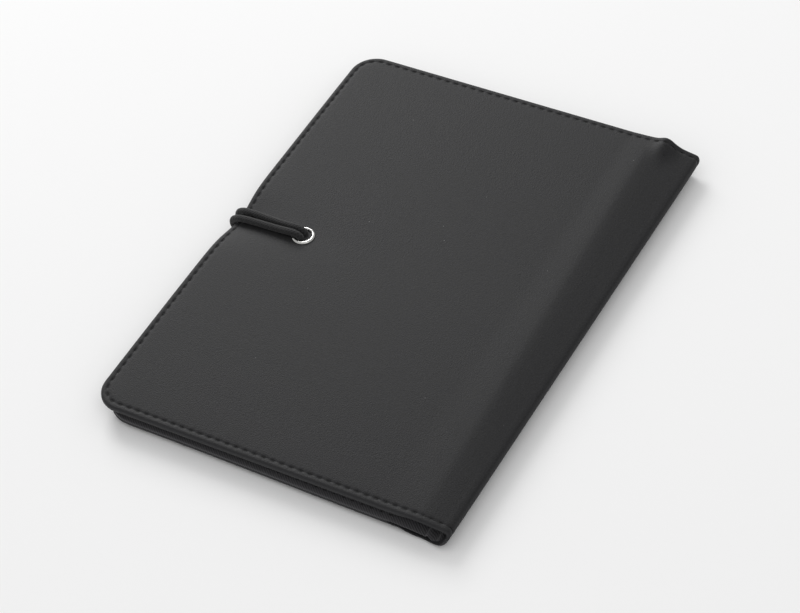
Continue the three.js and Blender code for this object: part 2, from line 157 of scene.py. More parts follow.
# The route of one strand, from the clamp out of the eyelet, round the fore-edge and under
# the back cover: distance from the fore-edge, half the strands' spacing, height.
STRAND = [
    (35.2, 1.68, 9.3),
    (35.2, 1.68, 10.4),
    (34.9, 1.68, 11.6),
    (33.9, 1.68, 12.5),
    (32.1, 1.7, 13.1),
    (29.8, 1.72, 13.2),
    (27.0, 1.76, 12.95),
    (23.0, 1.85, 12.6),
    (18.0, 1.98, 12.25),
    (12.0, 2.15, 11.85),
    (7.0, 2.3, 11.5),
    (3.0, 2.4, 10.9),
    (0.3, 2.45, 9.7),
    (-0.9, 2.45, 8.2),
    (-1.1, 2.45, 6.3),
    (-0.5, 2.45, 4.6),
    (0.9, 2.5, 3.2),
    (3.6, 2.6, 2.68),
    (8.0, 2.9, 2.62),
    (14.0, 3.3, 2.62),
    (20.0, 3.75, 2.62),
    (26.0, 4.15, 2.62),
    (30.0, 4.2, 2.62),
]
LOOP_END_RADIUS = 4.2
LOOP_DRIFT = 0.9

# The photograph's camera: focal length in pixels of an 800 pixel wide frame, its turn round
# the folder, its height and roll, its distance, and the point on the table it looks at.
PHOTO_WIDTH = 800
FOCAL_PIXELS = 2725.0
CAMERA_AZIMUTH = 35.77
CAMERA_ELEVATION = 46.04
CAMERA_ROLL = -9.0
CAMERA_DISTANCE = 1180.0
CAMERA_TARGET = (89.6, 107.2)

# Edges: their roundness, how far the front's side draws in below, and where points lie
EDGE_RADIUS = 1.1
TUCK = 1.9
CLOTH_THICK = 0.4
FRONT_TURN_IN = 11.0
BACK_TURN_IN = 9.0
PAD_SWELL = 0.14
PAD_SWELL_REACH = 4.0
EDGE_STATIONS = (0.0, 0.03, 0.12, 0.32, 0.6, 0.95, 1.4, 1.9, 2.3, 2.6, 2.9, 3.2, 3.5, 4.0, 4.8, 5.8)

# Sewing
STITCH_INSET = 2.9
STITCH_PITCH = 4.45
STITCH_OVER = 17.0
STITCH_SINK = 0.1
STITCH_ANGLE = 8.0
STITCH_RINGS = 7
STITCH_SIDES = 8
GROOVE_DEPTH = 0.16
GROOVE_WIDTH = 0.6

# Linings: how far inside the covers' outlines, where the front one ends on the strip, how
# high the back cover's cloth stands at its edge and how far the lining turns down over it
LINING_INSET = 2.4
LINING_END = 168.5
BACK_LINING_INSET = 1.7
BACK_LINING_FOLD = 1.15
BACK_EDGE = 2.0
LINING_THICK = 0.12
LINING_CLEAR = 0.1
FRONT_LINING_TURN_IN = 6.0
BACK_LINING_TURN_IN = 3.0
FRONT_LINING_ROLL = 0.2
BACK_LINING_ROLL = 0.3
LINING_STEP = 1.5
BUCKLE_REACH = 26.0
BUCKLE_WAVE = 0.35
BUCKLE_LENGTH = 9.0
BUCKLE_POINT = 7.0
BUCKLE_SPREAD = 3.0

# The back lining's section in the bend: x, z and its share of the end's sag
BUCKLED_END = [
    (146.0, 5.8, 1.0),
    (150.0, 5.6, 1.0),
    (154.0, 5.0, 0.8),
    (157.5, 4.3, 0.6),
    (160.3, 3.7, 0.5),
    (162.0, 3.2, 0.4),
    (163.1, 4.0, 0.3),
    (164.2, 3.5, 0.2),
    (165.4, 2.1, 0.1),
    (167.0, 1.8, 0.0),
    (168.2, 2.7, 0.0),
    (169.4, 2.6, 0.0),
    (170.8, 3.6, 0.0),
    (171.7, 4.9, 0.0),
    (171.8, 6.2, 0.0),
    (171.0, 7.4, 0.0),
]
LOW_MIDDLE = [
    (146.0, 5.8),
    (150.0, 5.2),
    (152.0, 3.4),
    (154.5, 2.2),
    (157.5, 1.6),
    (160.5, 1.4),
    (163.0, 1.8),
    (164.8, 1.5),
    (166.3, 1.9),
    (167.6, 1.9),
    (168.8, 2.6),
    (169.8, 3.2),
    (170.8, 4.3),
    (171.5, 5.4),
    (171.7, 6.3),
    (171.0, 7.4),
]

# Inner panels: the document pocket and the pad panel, from the fore-edge and the ends
PANEL_SIDE = 9.0
PANEL_THICK = 0.3
HEM_WIDTH = 6.0
HEM_THICK = 0.14
POCKET_X = (14.0, 139.0)
PAD_PANEL_X = (64.0, 137.4)

# Pen loop, eyelet and button
PEN_LOOP_X = 157.6
PEN_LOOP_Z = 6.25
PEN_LOOP_RADII = (4.95, 2.8)
PEN_LOOP_HALF_WIDTH = 12.0
WEBBING_THICK = 0.32
TAB_GAP = 0.36
EYELET_BORE = 3.55
EYELET_WALL = 0.3
EYELET_RIM = 4.4
EYELET_ROLL = 0.85
EYELET_LIFT = 0.15
EYELET_TUBE = 1.25
BUTTON_HEAD = 6.5
BUTTON_HEAD_THICK = 0.9
BUTTON_STEM = 2.4
BUTTON_EDGE = 0.35
LATHE_STEPS = 96
CORD_SIDES = 20
CORD_RINGS = 420

# The floor: its height just below the table and how far it reaches each way, in metres
FLOOR_Z = -0.0002
FLOOR_REACH = 6.0

# Light, in metres and watts
KEY_PLACE = (-1.36, 1.32, 1.1)
FILL_PLACE = (0.9, -0.6, 1.4)
FILL_SHARE = 0.1
LIGHT_SIZE = 1.0
SENSOR_WIDTH = 36.0
FULL_TURN = 6.2832


def smooth(low, high, value):
    """3 t squared minus 2 t cubed, where t is value's share of the way from low to high."""
    t = np.clip((value - low) / (high - low), 0.0, 1.0)
    return t * t * (3 - 2 * t)


def bell(value, width):
    """e to the minus (value over width) squared."""
    return np.exp(-((value / width) ** 2))


def sag(y):
    """Minus the end's sag times the square of the distance from the middle, as a share."""
    q = (y - MID_Y) / MID_Y
    return -np.where(q < 0, TAIL_SAG, HEAD_SAG) * q * q


def pinch(x, y):
    """A bell across the loop times e to the minus x over the reach."""
    return bell(y - CORD_Y, PINCH_WIDTH) * np.exp(-np.maximum(0, x) / PINCH_REACH)


def dent(x, y):
    """A bell across the loop, whole as far as the button and gone at DENT_END."""
    return bell(y - CORD_Y, PINCH_WIDTH) * (1 - smooth(DENT_START, DENT_END, x))


def squeeze(x, y):
    """How far the loop pulls the fore-edge in, falling in a line to zero at the reach."""
    return EDGE_SQUEEZE * bell(y - CORD_Y, PINCH_WIDTH) * np.maximum(0, 1 - x / PINCH_REACH)


def front_height(x, y, depth):
    """Height at a depth under the front cover's top: a straight share from top to lining."""
    p = pinch(x, y)
    low = FRONT_BASE - PINCH_INSIDE * p
    high = FRONT_TOP - PINCH_TOP * p
    return high + (low - high) * depth / FRONT_THICK + sag(y)


def back_height(x, y, rise):
    """Height at a rise above the back cover's underside: a straight share to its lining."""
    d = dent(x, y)
    low = BACK_LIFT + DENT_BELOW * d
    high = BACK_TOP + DENT_INSIDE * d
    return low + (high - low) * rise / BACK_THICK + sag(y)


def head_swell(y):
    """The front's padding lifts its cloth smoothly from the middle to the head."""
    return HEAD_SWELL * smooth(MID_Y, LENGTH, y)


def head_curl(x, y):
    """A small bell at the head end of the ridge, fading towards the middle."""
    return CURL * bell(LENGTH - y, CURL_REACH) * bell(x - CURL_X, CURL_WIDTH)


def strip_height(x, y):
    """The cloth rises smoothly to its crest, from a little before the ridge. From there it
    falls to the shoulder by t squared over (t + ease), which soon becomes a straight slope.
    Its head end curls up in a small bell."""
    share = y / LENGTH
    start = FRONT_PANEL + FOLD_GAP
    along = np.clip((x - start) / (SHOULDER_X - start), 0, 1)
    crest = CREST_PLACE_TAIL + (CREST_PLACE_HEAD - CREST_PLACE_TAIL) * share
    rise = CREST_RISE_TAIL + (CREST_RISE_HEAD - CREST_RISE_TAIL) * share
    base = FRONT_TOP + sag(y) + head_swell(y)
    t = np.clip((along - crest) / (1 - crest), 0, 1)
    ease = FALL_EASE_TAIL + (FALL_EASE_HEAD - FALL_EASE_TAIL) * share
    top = base + rise
    falling = top - (top - SHOULDER_Z) * t * t * (1 + ease) / (t + ease)
    curl = head_curl(x, y)
    crest_x = start + (SHOULDER_X - start) * crest
    rising = base + rise * smooth(start - RIDGE_EASE, crest_x, x)
    return np.where(along < crest, rising, falling) + curl


def front_top(x, y):
    """The front cover's top, blended into the spine strip's over the last of the panel."""
    flat = front_height(x, y, 0.0) + head_swell(y)
    return np.where(x > FRONT_PANEL - RIDGE_EASE, strip_height(x, y), flat)


def front_depth(x, deep):
    """A depth inside the front cover that shrinks to the strip's along the ridge."""
    return deep + (STRIP_DEPTH - deep) * smooth(FRONT_PANEL, FRONT_PANEL + RIDGE_THINNING, x)


def corner_parts(x, y, inset):
    """A panel's corner radius, the distances inside its side and its fore-edge, and how far
    a point lies past the corner's centre both ways, or zero."""
    radius = CORNER - inset
    side = np.minimum(y, LENGTH - y) - inset
    fore = x - inset
    return radius, side, fore, np.maximum(radius - fore, 0), np.maximum(radius - side, 0)


def edge_distance(x, y, inset):
    """Distance inside a panel's outline: its straight sides, or its round corner's arc."""
    radius, side, fore, qx, qy = corner_parts(x, y, inset)
    return np.where((qx > 0) & (qy > 0), radius - np.hypot(qx, qy), np.minimum(fore, side))


def outline_normal(x, y, inset):
    """Unit vector in the panel's plane that points out of its nearest edge."""
    _, side, fore, qx, qy = corner_parts(x, y, inset)
    corner = (qx > 0) & (qy > 0)
    nx = np.where(corner, qx, np.where(fore < side, 1.0, 0.0))
    ny = np.where(corner, qy, np.where(fore < side, 0.0, 1.0))
    size = np.maximum(np.hypot(nx, ny), 1e-9)
    toward = np.where(y < MID_Y, -1.0, 1.0)
    return np.stack([-nx / size, toward * ny / size, np.zeros_like(nx)], -1)


def seam_marks(inset):
    """Lengths along a seam line at which its tail run, its arcs and its fore-edge end."""
    arc = (CORNER - inset) * math.pi / 2
    tail = FRONT_PANEL - CORNER
    fore = LENGTH - 2 * CORNER
    return tail, tail + arc, tail + arc + fore, tail + 2 * arc + fore


def edge_run(x, y, inset):
    """Length along a seam line to the point beside (x, y): down the tail to the fore-edge,
    along it and back along the head, with the arcs measured by their angle."""
    tail, first, second, head = seam_marks(inset)
    turn_tail = np.arctan2(CORNER - x, CORNER - y) / (np.pi / 2)
    turn_head = np.arctan2(y - (LENGTH - CORNER), CORNER - x) / (np.pi / 2)
    low = (x < CORNER) & (y < CORNER)
    high = (x < CORNER) & (y > LENGTH - CORNER)
    run = np.where(y < MID_Y, FRONT_PANEL - x, head + x - CORNER)
    run = np.where(low, tail + (first - tail) * turn_tail, run)
    run = np.where(high, second + (head - second) * turn_head, run)
    nearer = (x - inset < np.minimum(y, LENGTH - y) - inset) & ~low & ~high
    return np.where(nearer, first + y - CORNER, run)


def seam_points(run, inset):
    """Points on a seam line and its direction there, by the length along it."""
    tail, first, second, head = seam_marks(inset)
    radius = CORNER - inset
    turn_tail = np.clip((run - tail) / (first - tail), 0, 1) * np.pi / 2
    turn_head = np.clip((run - second) / (head - second), 0, 1) * np.pi / 2
    turn = turn_tail + turn_head
    straight = np.where(run < tail, FRONT_PANEL - run, CORNER + np.maximum(0, run - head))
    x = straight - radius * np.sin(turn_tail)
    x = np.where(run > second, straight - radius * np.cos(turn_head), x)
    along = np.clip(run - first, 0, second - first)
    y = CORNER - radius * np.cos(turn_tail) + along + radius * np.sin(turn_head)
    return x, y, -np.cos(turn), np.sin(turn)


def edge_relief(d):
    """Height added near an edge: a rounded rim, a groove along the stitches and the slight
    swell of the padding inside it."""
    inside = np.clip(EDGE_RADIUS - d, 0, EDGE_RADIUS)
    rim = np.sqrt(np.maximum(0, EDGE_RADIUS**2 - inside**2)) - EDGE_RADIUS
    swell = PAD_SWELL * (1 - np.exp(-np.maximum(0, d - STITCH_INSET) / PAD_SWELL_REACH))
    return rim - GROOVE_DEPTH * bell(d - STITCH_INSET, GROOVE_WIDTH) + swell


def edge_drop(distance, radius):
    """How far a quarter-round edge lies below its sheet, as a share of the radius."""
    share = np.clip(distance / radius, 0, 1)
    return 1 - np.sqrt(share * (2 - share))


def spline(points, params):
    """Catmull-Rom through the rows of points: each span is the cubic whose ends' slopes are
    half the difference of its neighbours. params count spans from the first point."""
    last = len(points) - 1
    span = np.clip(np.floor(params).astype(int), 0, last - 1)
    t = (params - span).reshape(-1, *([1] * (points.ndim - 1)))
    first = points[span]
    second = points[span + 1]
    slope_a = (second - points[np.maximum(span - 1, 0)]) / 2
    slope_b = (points[np.minimum(span + 2, last)] - first) / 2
    start = first * (2 * t**3 - 3 * t**2 + 1) + slope_a * (t**3 - 2 * t**2 + t)
    return start + second * (3 * t**2 - 2 * t**3) + slope_b * (t**3 - t**2)


def resample(path, count):
    """count rows evenly spaced along a line of points, with the length to each. The length
    is measured on the first three columns, and the others follow."""
    steps = np.linalg.norm(np.diff(path[:, :3], axis=0), axis=1)
    run = np.concatenate([[0], np.cumsum(steps)])
    wanted = np.linspace(0, run[-1], count)
    even = np.stack([np.interp(wanted, run, path[:, n]) for n in range(path.shape[1])], 1)
    return even, wanted


def unit(vectors):
    """Vectors divided by their lengths."""
    return vectors / np.maximum(np.linalg.norm(vectors, axis=-1, keepdims=True), 1e-9)


def to_row(points):
    """Folder millimetres to metres in the row frame."""
    return np.asarray(points, float).reshape(-1, 3) * MM + np.array([FORE_X, TAIL_Y, 0.0])


def mesh_piece(name, points, faces, corner_uv=None, caps=()):
    """A smooth mesh at the origin, from folder coordinates, four-sided faces and end caps."""
    mesh = bpy.data.meshes.new(name)
    mesh.from_pydata(to_row(points), [], faces.tolist() + [list(cap) for cap in caps])
    mesh.polygons.foreach_set("use_smooth", np.ones(len(mesh.polygons), bool))
    if corner_uv is not None:
        flat = np.zeros((len(mesh.loops), 2))
        flat[: len(faces) * 4] = np.asarray(corner_uv, float).reshape(-1, 2)
        mesh.uv_layers.new(name="UVMap").data.foreach_set("uv", flat.ravel())
    mesh.update()
    piece = bpy.data.objects.new(name, mesh)
    bpy.context.scene.collection.objects.link(piece)
    return piece


def point_value(piece, name, values):
    """Stores one number for each point of a piece, for its material to read."""
    layer = piece.data.attributes.new(name, "FLOAT", "POINT")
    layer.data.foreach_set("value", np.asarray(values, np.float32).ravel())


def grid_faces(rows, columns, wrap_rows=False, wrap_columns=False):
    """Four-sided faces of a grid whose point (i, j) is number i * columns + j."""
    i = np.arange(rows if wrap_rows else rows - 1)
    j = np.arange(columns if wrap_columns else columns - 1)
    i, j = np.meshgrid(i, j, indexing="ij")
    next_i = (i + 1) % rows
    next_j = (j + 1) % columns
    corners = [(i, j), (next_i, j), (next_i, next_j), (i, next_j)]
    return np.stack([(row * columns + column).ravel() for row, column in corners], 1)


def thicken(piece, thickness, offset=-1.0):
    """Gives a sheet its thickness, with the edges of the sheet kept crisp."""
    mesh = piece.data
    loops = np.zeros(len(mesh.loops), int)
    mesh.loops.foreach_get("edge_index", loops)
    uses = np.bincount(loops, minlength=len(mesh.edges))
    sharp = mesh.attributes.get("sharp_edge") or mesh.attributes.new("sharp_edge", "BOOLEAN", "EDGE")
    sharp.data.foreach_set("value", uses == 1)
    wall = piece.modifiers.new("thickness", "SOLIDIFY")
    wall.thickness = thickness * MM
    wall.offset = offset
    return piece


def turned_sheet(name, face, inward, outward, depth, turn_in, far, radius, seam=None, tuck=0.0, curl=None):
    """A cloth face whose edges are turned over. From each point B of the face's border the
    rows go to B + out * outward + down * inward: down the side, round, and back inside. A
    tuck draws the side in as it goes down, as its square, and the turned strip eases down
    from the height of a curled edge by a bell."""
    rows, columns = face.shape[:2]
    number = np.arange(rows * columns).reshape(rows, columns)
    if far:
        border = np.concatenate([number[:, -1], number[-1, -2::-1], number[-2::-1, 0]])
    else:
        border = np.concatenate([number[::-1, 0], number[0, 1:], number[1:, -1]])
    flat = face.reshape(-1, 3)
    base = flat[border]
    side = depth.reshape(-1)[border][:, None] - radius
    into = inward.reshape(-1, 3)[border]
    out = outward.reshape(-1, 3)[border]
    bulge = min(0.14, 0.3 * radius)
    profile = [(0.8 * bulge, 0.2), (bulge, 0.45), (0.6 * bulge, 0.7), (-bulge, 0.9), (-0.4, 0.98)]
    profile += [(-reach, 1.0) for reach in (0.9, 1.8, 0.45 * turn_in, 0.75 * turn_in, turn_in)]
    drawn = tuck * side / np.maximum(side.max(), 1e-9)
    lifted = 0.0 if curl is None else curl.reshape(-1)[border][:, None]
    points = [flat]
    for reach, down in profile:
        eased = lifted * (1 - bell(min(reach, 0.0), CURL_REACH))
        points.append(base + out * (reach - drawn * down**2) + into * (side * down + eased))
    count = len(border)
    faces = [grid_faces(rows, columns)]
    above = border
    for n in range(len(profile)):
        below = rows * columns + n * count + np.arange(count)
        faces.append(np.stack([above[:-1], above[1:], below[1:], below[:-1]], 1))
        above = below
    piece = mesh_piece(name, np.concatenate(points), np.concatenate(faces))
    if seam is not None:
        run, distance = seam
        wraps = len(profile)
        run_all = np.concatenate([run.ravel(), np.tile(run.reshape(-1)[border], wraps)])
        away = -np.repeat(np.arange(1, wraps + 1) * 0.5, count)
        point_value(piece, "seam_run", run_all)
        point_value(piece, "seam_distance", np.concatenate([distance.ravel(), away]))
    return piece


def panel_columns(inset, end, step):
    """Distances across a panel: close together round the corner and at the stitches, then
    evenly spaced, with one short step at the end."""
    near = inset + np.array(EDGE_STATIONS)
    middle = np.linspace(near[-1], end - 0.25, int((end - near[-1]) / step))
    return np.concatenate([near, middle[1:], [end]])


def row_line(step):
    """Distances from the tail edge: close together at both ends, even between them."""
    near = np.array(EDGE_STATIONS)
    middle = np.linspace(near[-1], LENGTH - near[-1], int(LENGTH / step))
    return np.concatenate([near, middle[1:-1], LENGTH - near[::-1]])


def panel_grid(columns, inset, step):
    """x and y of a panel's points: each column runs from outline to outline."""
    radius = CORNER - inset
    reach = np.clip(CORNER - columns, 0, radius)
    side = (inset + radius - np.sqrt(np.maximum(0, radius**2 - reach**2)))[:, None]
    y = side + row_line(step)[None, :] * (LENGTH - 2 * side) / LENGTH
    return np.repeat(columns[:, None], y.shape[1], 1), y


def upward(like, direction):
    """The same vertical unit vector at each point of a grid."""
    vectors = np.zeros((*like.shape, 3))
    vectors[..., 2] = direction
    return vectors


def into_sheet(face):
    """Unit vectors into a sheet that runs along x and z: (dz, 0, -dx) along the section."""
    along = np.gradient(face[..., [0, 2]], axis=0)
    return unit(np.stack([along[..., 1], np.zeros(face.shape[:2]), -along[..., 0]], 2))


def bent_grid(section_at, steps, side_at, shift_at, step):
    """A sheet along the folder whose section is a spline. side_at and shift_at give, by the
    share of the section, how far its ends draw in and how far it lies towards the head.
    Returned as points, y before the shift, distance from the ends, and outward vectors."""
    line = row_line(step)
    section = section_at(line)
    curved = spline(section, np.linspace(0, len(section) - 1, steps))
    share = np.linspace(0, 1, steps)[:, None]
    side = side_at(share)
    wide = side + line[None, :] * (LENGTH - 2 * side) / LENGTH
    points = np.stack([curved[..., 0], wide + shift_at(share), curved[..., 1]], 2)
    outward = np.zeros_like(points)
    outward[..., 1] = np.where(wide < MID_Y, -1.0, 1.0)
    return points, wide, np.minimum(wide - side, LENGTH - side - wide), outward


def front_cover_cloth(step):
    """z = the front's top plus the relief at the edges, as far as the middle of the strip,
    with the edges turned over the board and fixed behind it."""
    x, y = panel_grid(panel_columns(0.0, CLOTH_SPLIT, step), 0.0, step)
    distance = edge_distance(x, y, 0.0)
    z = front_top(x, y) + edge_relief(distance)
    face = np.stack([x + squeeze(x, y), y, z], 2)
    behind = FRONT_THICK - CLOTH_THICK - 0.05
    stack = front_height(x, y, 0.0) + head_swell(y) - front_height(x, y, behind)
    seam = (edge_run(x, y, STITCH_INSET), distance)
    piece = turned_sheet(
        "front_cover_cloth", face, upward(x, -1), outline_normal(x, y, 0.0), front_depth(x, stack),
        FRONT_TURN_IN, False, EDGE_RADIUS, seam, TUCK, head_curl(x, y),
    )
    return thicken(piece, CLOTH_THICK)


def spine_section(y):
    """Outer points of the cloth's section at each y, from the strip over the shoulder,
    round the spine edge and underneath to the back cover, as (point, y, xz)."""
    same = np.ones_like(y)
    under = BACK_LIFT + sag(y)
    places = [(x * same, strip_height(x * same, y)) for x in STRIP_STATIONS]
    places += [((SPINE_X - inside) * same, z * same) for inside, z in BEND_OUTLINE]
    foot = [(SPINE_X - 20, 0.4), (BACK_PANEL + FOLD_GAP, 0.97), (BACK_JOIN_X, 1.0)]
    places += [(x * same, rise * under) for x, rise in foot]
    return np.array(places).transpose(0, 2, 1)


def back_shift(x):
    """How far the back cover lies towards the tail: more near the spine, rising smoothly,
    and less at its corners, which are drawn towards the head."""
    slant = BACK_SLANT * smooth(*BACK_SLANT_SPAN, x)
    return BACK_SHIFT + slant + BACK_CORNER_DRAW * smooth(*BACK_CORNER_SPAN, x)


def back_place(x, y, rise):
    """The back cover's points: its own x and y moved to where it lies, at a rise."""
    x = x + BACK_FORE
    y = y + back_shift(x)
    return np.stack([x + squeeze(x, y), y, back_height(x, y, rise)], 2)


def spine_back_cloth(step):
    """The cloth from the middle of the strip round the spine and under the back cover. Its
    section is a spline, and its edges draw in towards the smaller back cover."""

    def draw_in(share):
        return BACK_INSET * smooth(0.45, 1.0, share)

    def shift(share):
        low, high = SHIFT_SPAN
        bent = np.clip((share - low) / (high - low), 0, 1)
        swing = BEND_SHIFT * bell(bent - SWING_PLACE, SWING_WIDTH)
        return back_shift(BACK_PANEL) * smooth(0, 1, bent) + swing

    turn, wide, turn_distance, turn_out = bent_grid(spine_section, BEND_STEPS, draw_in, shift, step)
    columns = panel_columns(BACK_INSET, BACK_JOIN_X - BACK_FORE, step)[::-1][1:]
    x, y = panel_grid(columns, BACK_INSET, step)
    panel = back_place(x, y, 0.0)
    inward = np.concatenate([into_sheet(turn), upward(x, 1)])
    face = np.concatenate([turn, panel])
    distance = np.concatenate([turn_distance, edge_distance(x, y, BACK_INSET)])
    run_turn = edge_run(turn[..., 0] - BACK_FORE, wide, BACK_INSET + STITCH_INSET)
    run = np.concatenate([run_turn, edge_run(x, y, BACK_INSET + STITCH_INSET)])
    face = face - inward * edge_relief(distance)[..., None]
    outward = np.concatenate([turn_out, outline_normal(x, y, BACK_INSET)])
    thinner = smooth(BACK_PANEL + 1, BACK_PANEL - 8, panel[..., 0])
    pressed = 1 - DENT_PRESS * dent(panel[..., 0], panel[..., 1])
    stack = (STRIP_DEPTH + (BACK_EDGE - STRIP_DEPTH) * thinner) * pressed
    depth = np.concatenate([np.full(wide.shape, STRIP_DEPTH), stack])
    piece = turned_sheet(
        "spine_and_back_cloth", face, inward, outward, depth, BACK_TURN_IN, True, EDGE_RADIUS,
        (run, distance),
    )
    return thicken(piece, CLOTH_THICK)


def front_lining(step):
    """The lining inside the front cover and the strip: the top's height less the depth."""
    columns = panel_columns(LINING_INSET, LINING_END, step)[::-1]
    x, y = panel_grid(columns, LINING_INSET, step)
    thick = front_height(x, y, 0.0) + head_swell(y) - front_height(x, y, FRONT_THICK)
    clear = LINING_CLEAR * smooth(FRONT_PANEL, FRONT_PANEL + RIDGE_THINNING, x)
    rolled = FRONT_LINING_ROLL * edge_drop(edge_distance(x, y, LINING_INSET), 0.25)
    z = front_top(x, y) - front_depth(x, thick) - clear + rolled
    face = np.stack([x + squeeze(x, y), y, z], 2)
    piece = turned_sheet(
        "front_lining_cloth", face, upward(x, 1), outline_normal(x, y, LINING_INSET),
        np.full(x.shape, 2 * FRONT_LINING_ROLL), FRONT_LINING_TURN_IN, True, FRONT_LINING_ROLL,
        curl=-head_curl(x, y),
    )
    return thicken(piece, LINING_THICK)


def bend_lining_section(y):
    """The back lining's section from the panel into the bend, as (point, y, xz). At the tail
    and the head it stands off and buckles, and in the middle it lies low under the pen."""
    ends = np.maximum(bell(y, BUCKLE_REACH), bell(LENGTH - y, BUCKLE_REACH))
    open_end = np.array(BUCKLED_END)
    middle = np.array(LOW_MIDDLE)
    near = bell(np.arange(len(open_end))[:, None] - BUCKLE_POINT, BUCKLE_SPREAD)
    wave = BUCKLE_WAVE * np.sin(y / BUCKLE_LENGTH) * near
    x = open_end[:, :1] * ends + middle[:, :1] * (1 - ends)
    z = open_end[:, 1:2] * ends + middle[:, 1:2] * (1 - ends) + wave
    return np.stack([x, z + open_end[:, 2:] * sag(y)], 2)


def back_lining(step):
    """The lining on the back cover and round inside the bend, its edges turned down."""
    roll = BACK_LINING_ROLL
    columns = panel_columns(BACK_LINING_INSET, BACK_JOIN_X - BACK_FORE, step)[:-1]
    x, y = panel_grid(columns, BACK_LINING_INSET, step)
    panel = back_place(x, y, BACK_THICK)
    panel[..., 2] -= roll * edge_drop(edge_distance(x, y, BACK_LINING_INSET), roll)

    def draw_in(share):
        return BACK_LINING_INSET + 0.4 * smooth(0, 1, share)

    def shift(share):
        tail = back_shift(BACK_PANEL) * (1 - smooth(0.1, 1, share))
        return tail + BEND_SHIFT * bell(share - 0.6, 0.2)

    turn, wide, distance, turn_out = bent_grid(
        bend_lining_section, BEND_LINING_STEPS, draw_in, shift, step
    )
    inside = into_sheet(turn)
    inward = np.concatenate([upward(x, -1), inside])
    turn = turn + inside * (roll * edge_drop(distance, roll))[..., None]
    outward = np.concatenate([outline_normal(x, y, BACK_LINING_INSET), turn_out])
    least = 0.5
    deeper = (BACK_LINING_FOLD - least) * smooth(BACK_PANEL - 1, BACK_PANEL - 10, panel[..., 0])
    depth = np.concatenate([least + deeper, np.full(wide.shape, least)])
    piece = turned_sheet(
        "back_lining_cloth", np.concatenate([panel, turn]), inward, outward, depth,
        BACK_LINING_TURN_IN, False, roll,
    )
    return thicken(piece, LINING_THICK)


def inner_panel(name, span, height_at, flip, hem, shift=0.0):
    """A flat pocket or panel, its height the lining's plus a hem at the edge that is open."""
    start, end = span
    columns = np.linspace(start, end, int((end - start) / 2))
    rows = np.linspace(PANEL_SIDE, LENGTH - PANEL_SIDE, int(LENGTH / 2))
    columns = columns[::-1] if flip else columns
    x, y = np.meshgrid(columns, rows + shift, indexing="ij")
    raised = HEM_THICK * (1 - smooth(HEM_WIDTH - 1, HEM_WIDTH, np.abs(x - hem)))
    z = height_at(x, y) + (-raised if flip else raised)
    piece = mesh_piece(name, np.stack([x, y, z], 2), grid_faces(*x.shape))
    return thicken(piece, PANEL_THICK)


def stitch_template():
    """A short thread: rings whose radius is (1 - s to the fourth) to the half, s from -1 to
    1 along it, with a point at each end. Returned as unit points, quads and triangles."""
    sides = STITCH_SIDES
    s = np.linspace(-0.92, 0.92, STITCH_RINGS)[:, None]
    j = np.arange(sides)
    angle = j * 2 * np.pi / sides
    radius = np.sqrt(1 - s**4)
    ring = np.stack([np.repeat(s, sides, 1), radius * np.cos(angle), radius * np.sin(angle)], 2)
    points = np.concatenate([ring.reshape(-1, 3), [[-1, 0, 0], [1, 0, 0]]])
    quads = grid_faces(STITCH_RINGS, sides, wrap_columns=True)[:, ::-1]
    following = (j + 1) % sides
    tip = STITCH_RINGS * sides
    start = tip - sides
    first = np.stack([np.full(sides, tip), following, j], 1)
    last = np.stack([np.full(sides, tip + 1), start + j, start + following], 1)
    return points, quads, np.concatenate([first, last])


def stitch_row(name, inset, surface, up, look, first=None, last=None, on_back=False):
    """One mesh of threads laid every pitch along a seam line, each turned a little across
    it. surface(x, y) gives the height of the cloth, and up is 1 or -1."""
    ends = seam_marks(inset)
    start = -STITCH_OVER if first is None else first
    stop = ends[3] + FRONT_PANEL - CORNER + STITCH_OVER if last is None else last
    run = np.arange(start, stop, look.stitch_pitch)
    x, y, dx, dy = seam_points(run, inset)
    if on_back:
        x = x + BACK_FORE
        y = y + back_shift(x)
    half = look.stitch_length / 2
    front_z = surface(x + dx * half, y + dy * half)
    back_z = surface(x - dx * half, y - dy * half)
    along = unit(np.stack([dx * half, dy * half, (front_z - back_z) / 2], 1))
    level = np.tile([0.0, 0.0, float(up)], (len(run), 1))
    across = unit(np.cross(level, along))
    lean = math.radians(STITCH_ANGLE)
    turned = along * math.cos(lean) + across * math.sin(lean)
    across = across * math.cos(lean) - along * math.sin(lean)
    axes = (turned, across, np.cross(turned, across))
    centre = np.stack([x + squeeze(x, y), y, (front_z + back_z) / 2 - up * STITCH_SINK], 1)
    points, quads, tips = stitch_template()
    local = points * np.array([half, look.thread_width / 2, look.thread_width / 2])
    places = centre[:, None] + sum(local[:, n : n + 1] * axes[n][:, None] for n in range(3))
    offsets = (np.arange(len(run)) * len(points))[:, None, None]
    faces = (quads[None] + offsets).reshape(-1, 4)
    caps = (tips[None] + offsets).reshape(-1, 3)
    return mesh_piece(name, places.reshape(-1, 3), faces, caps=caps.tolist())


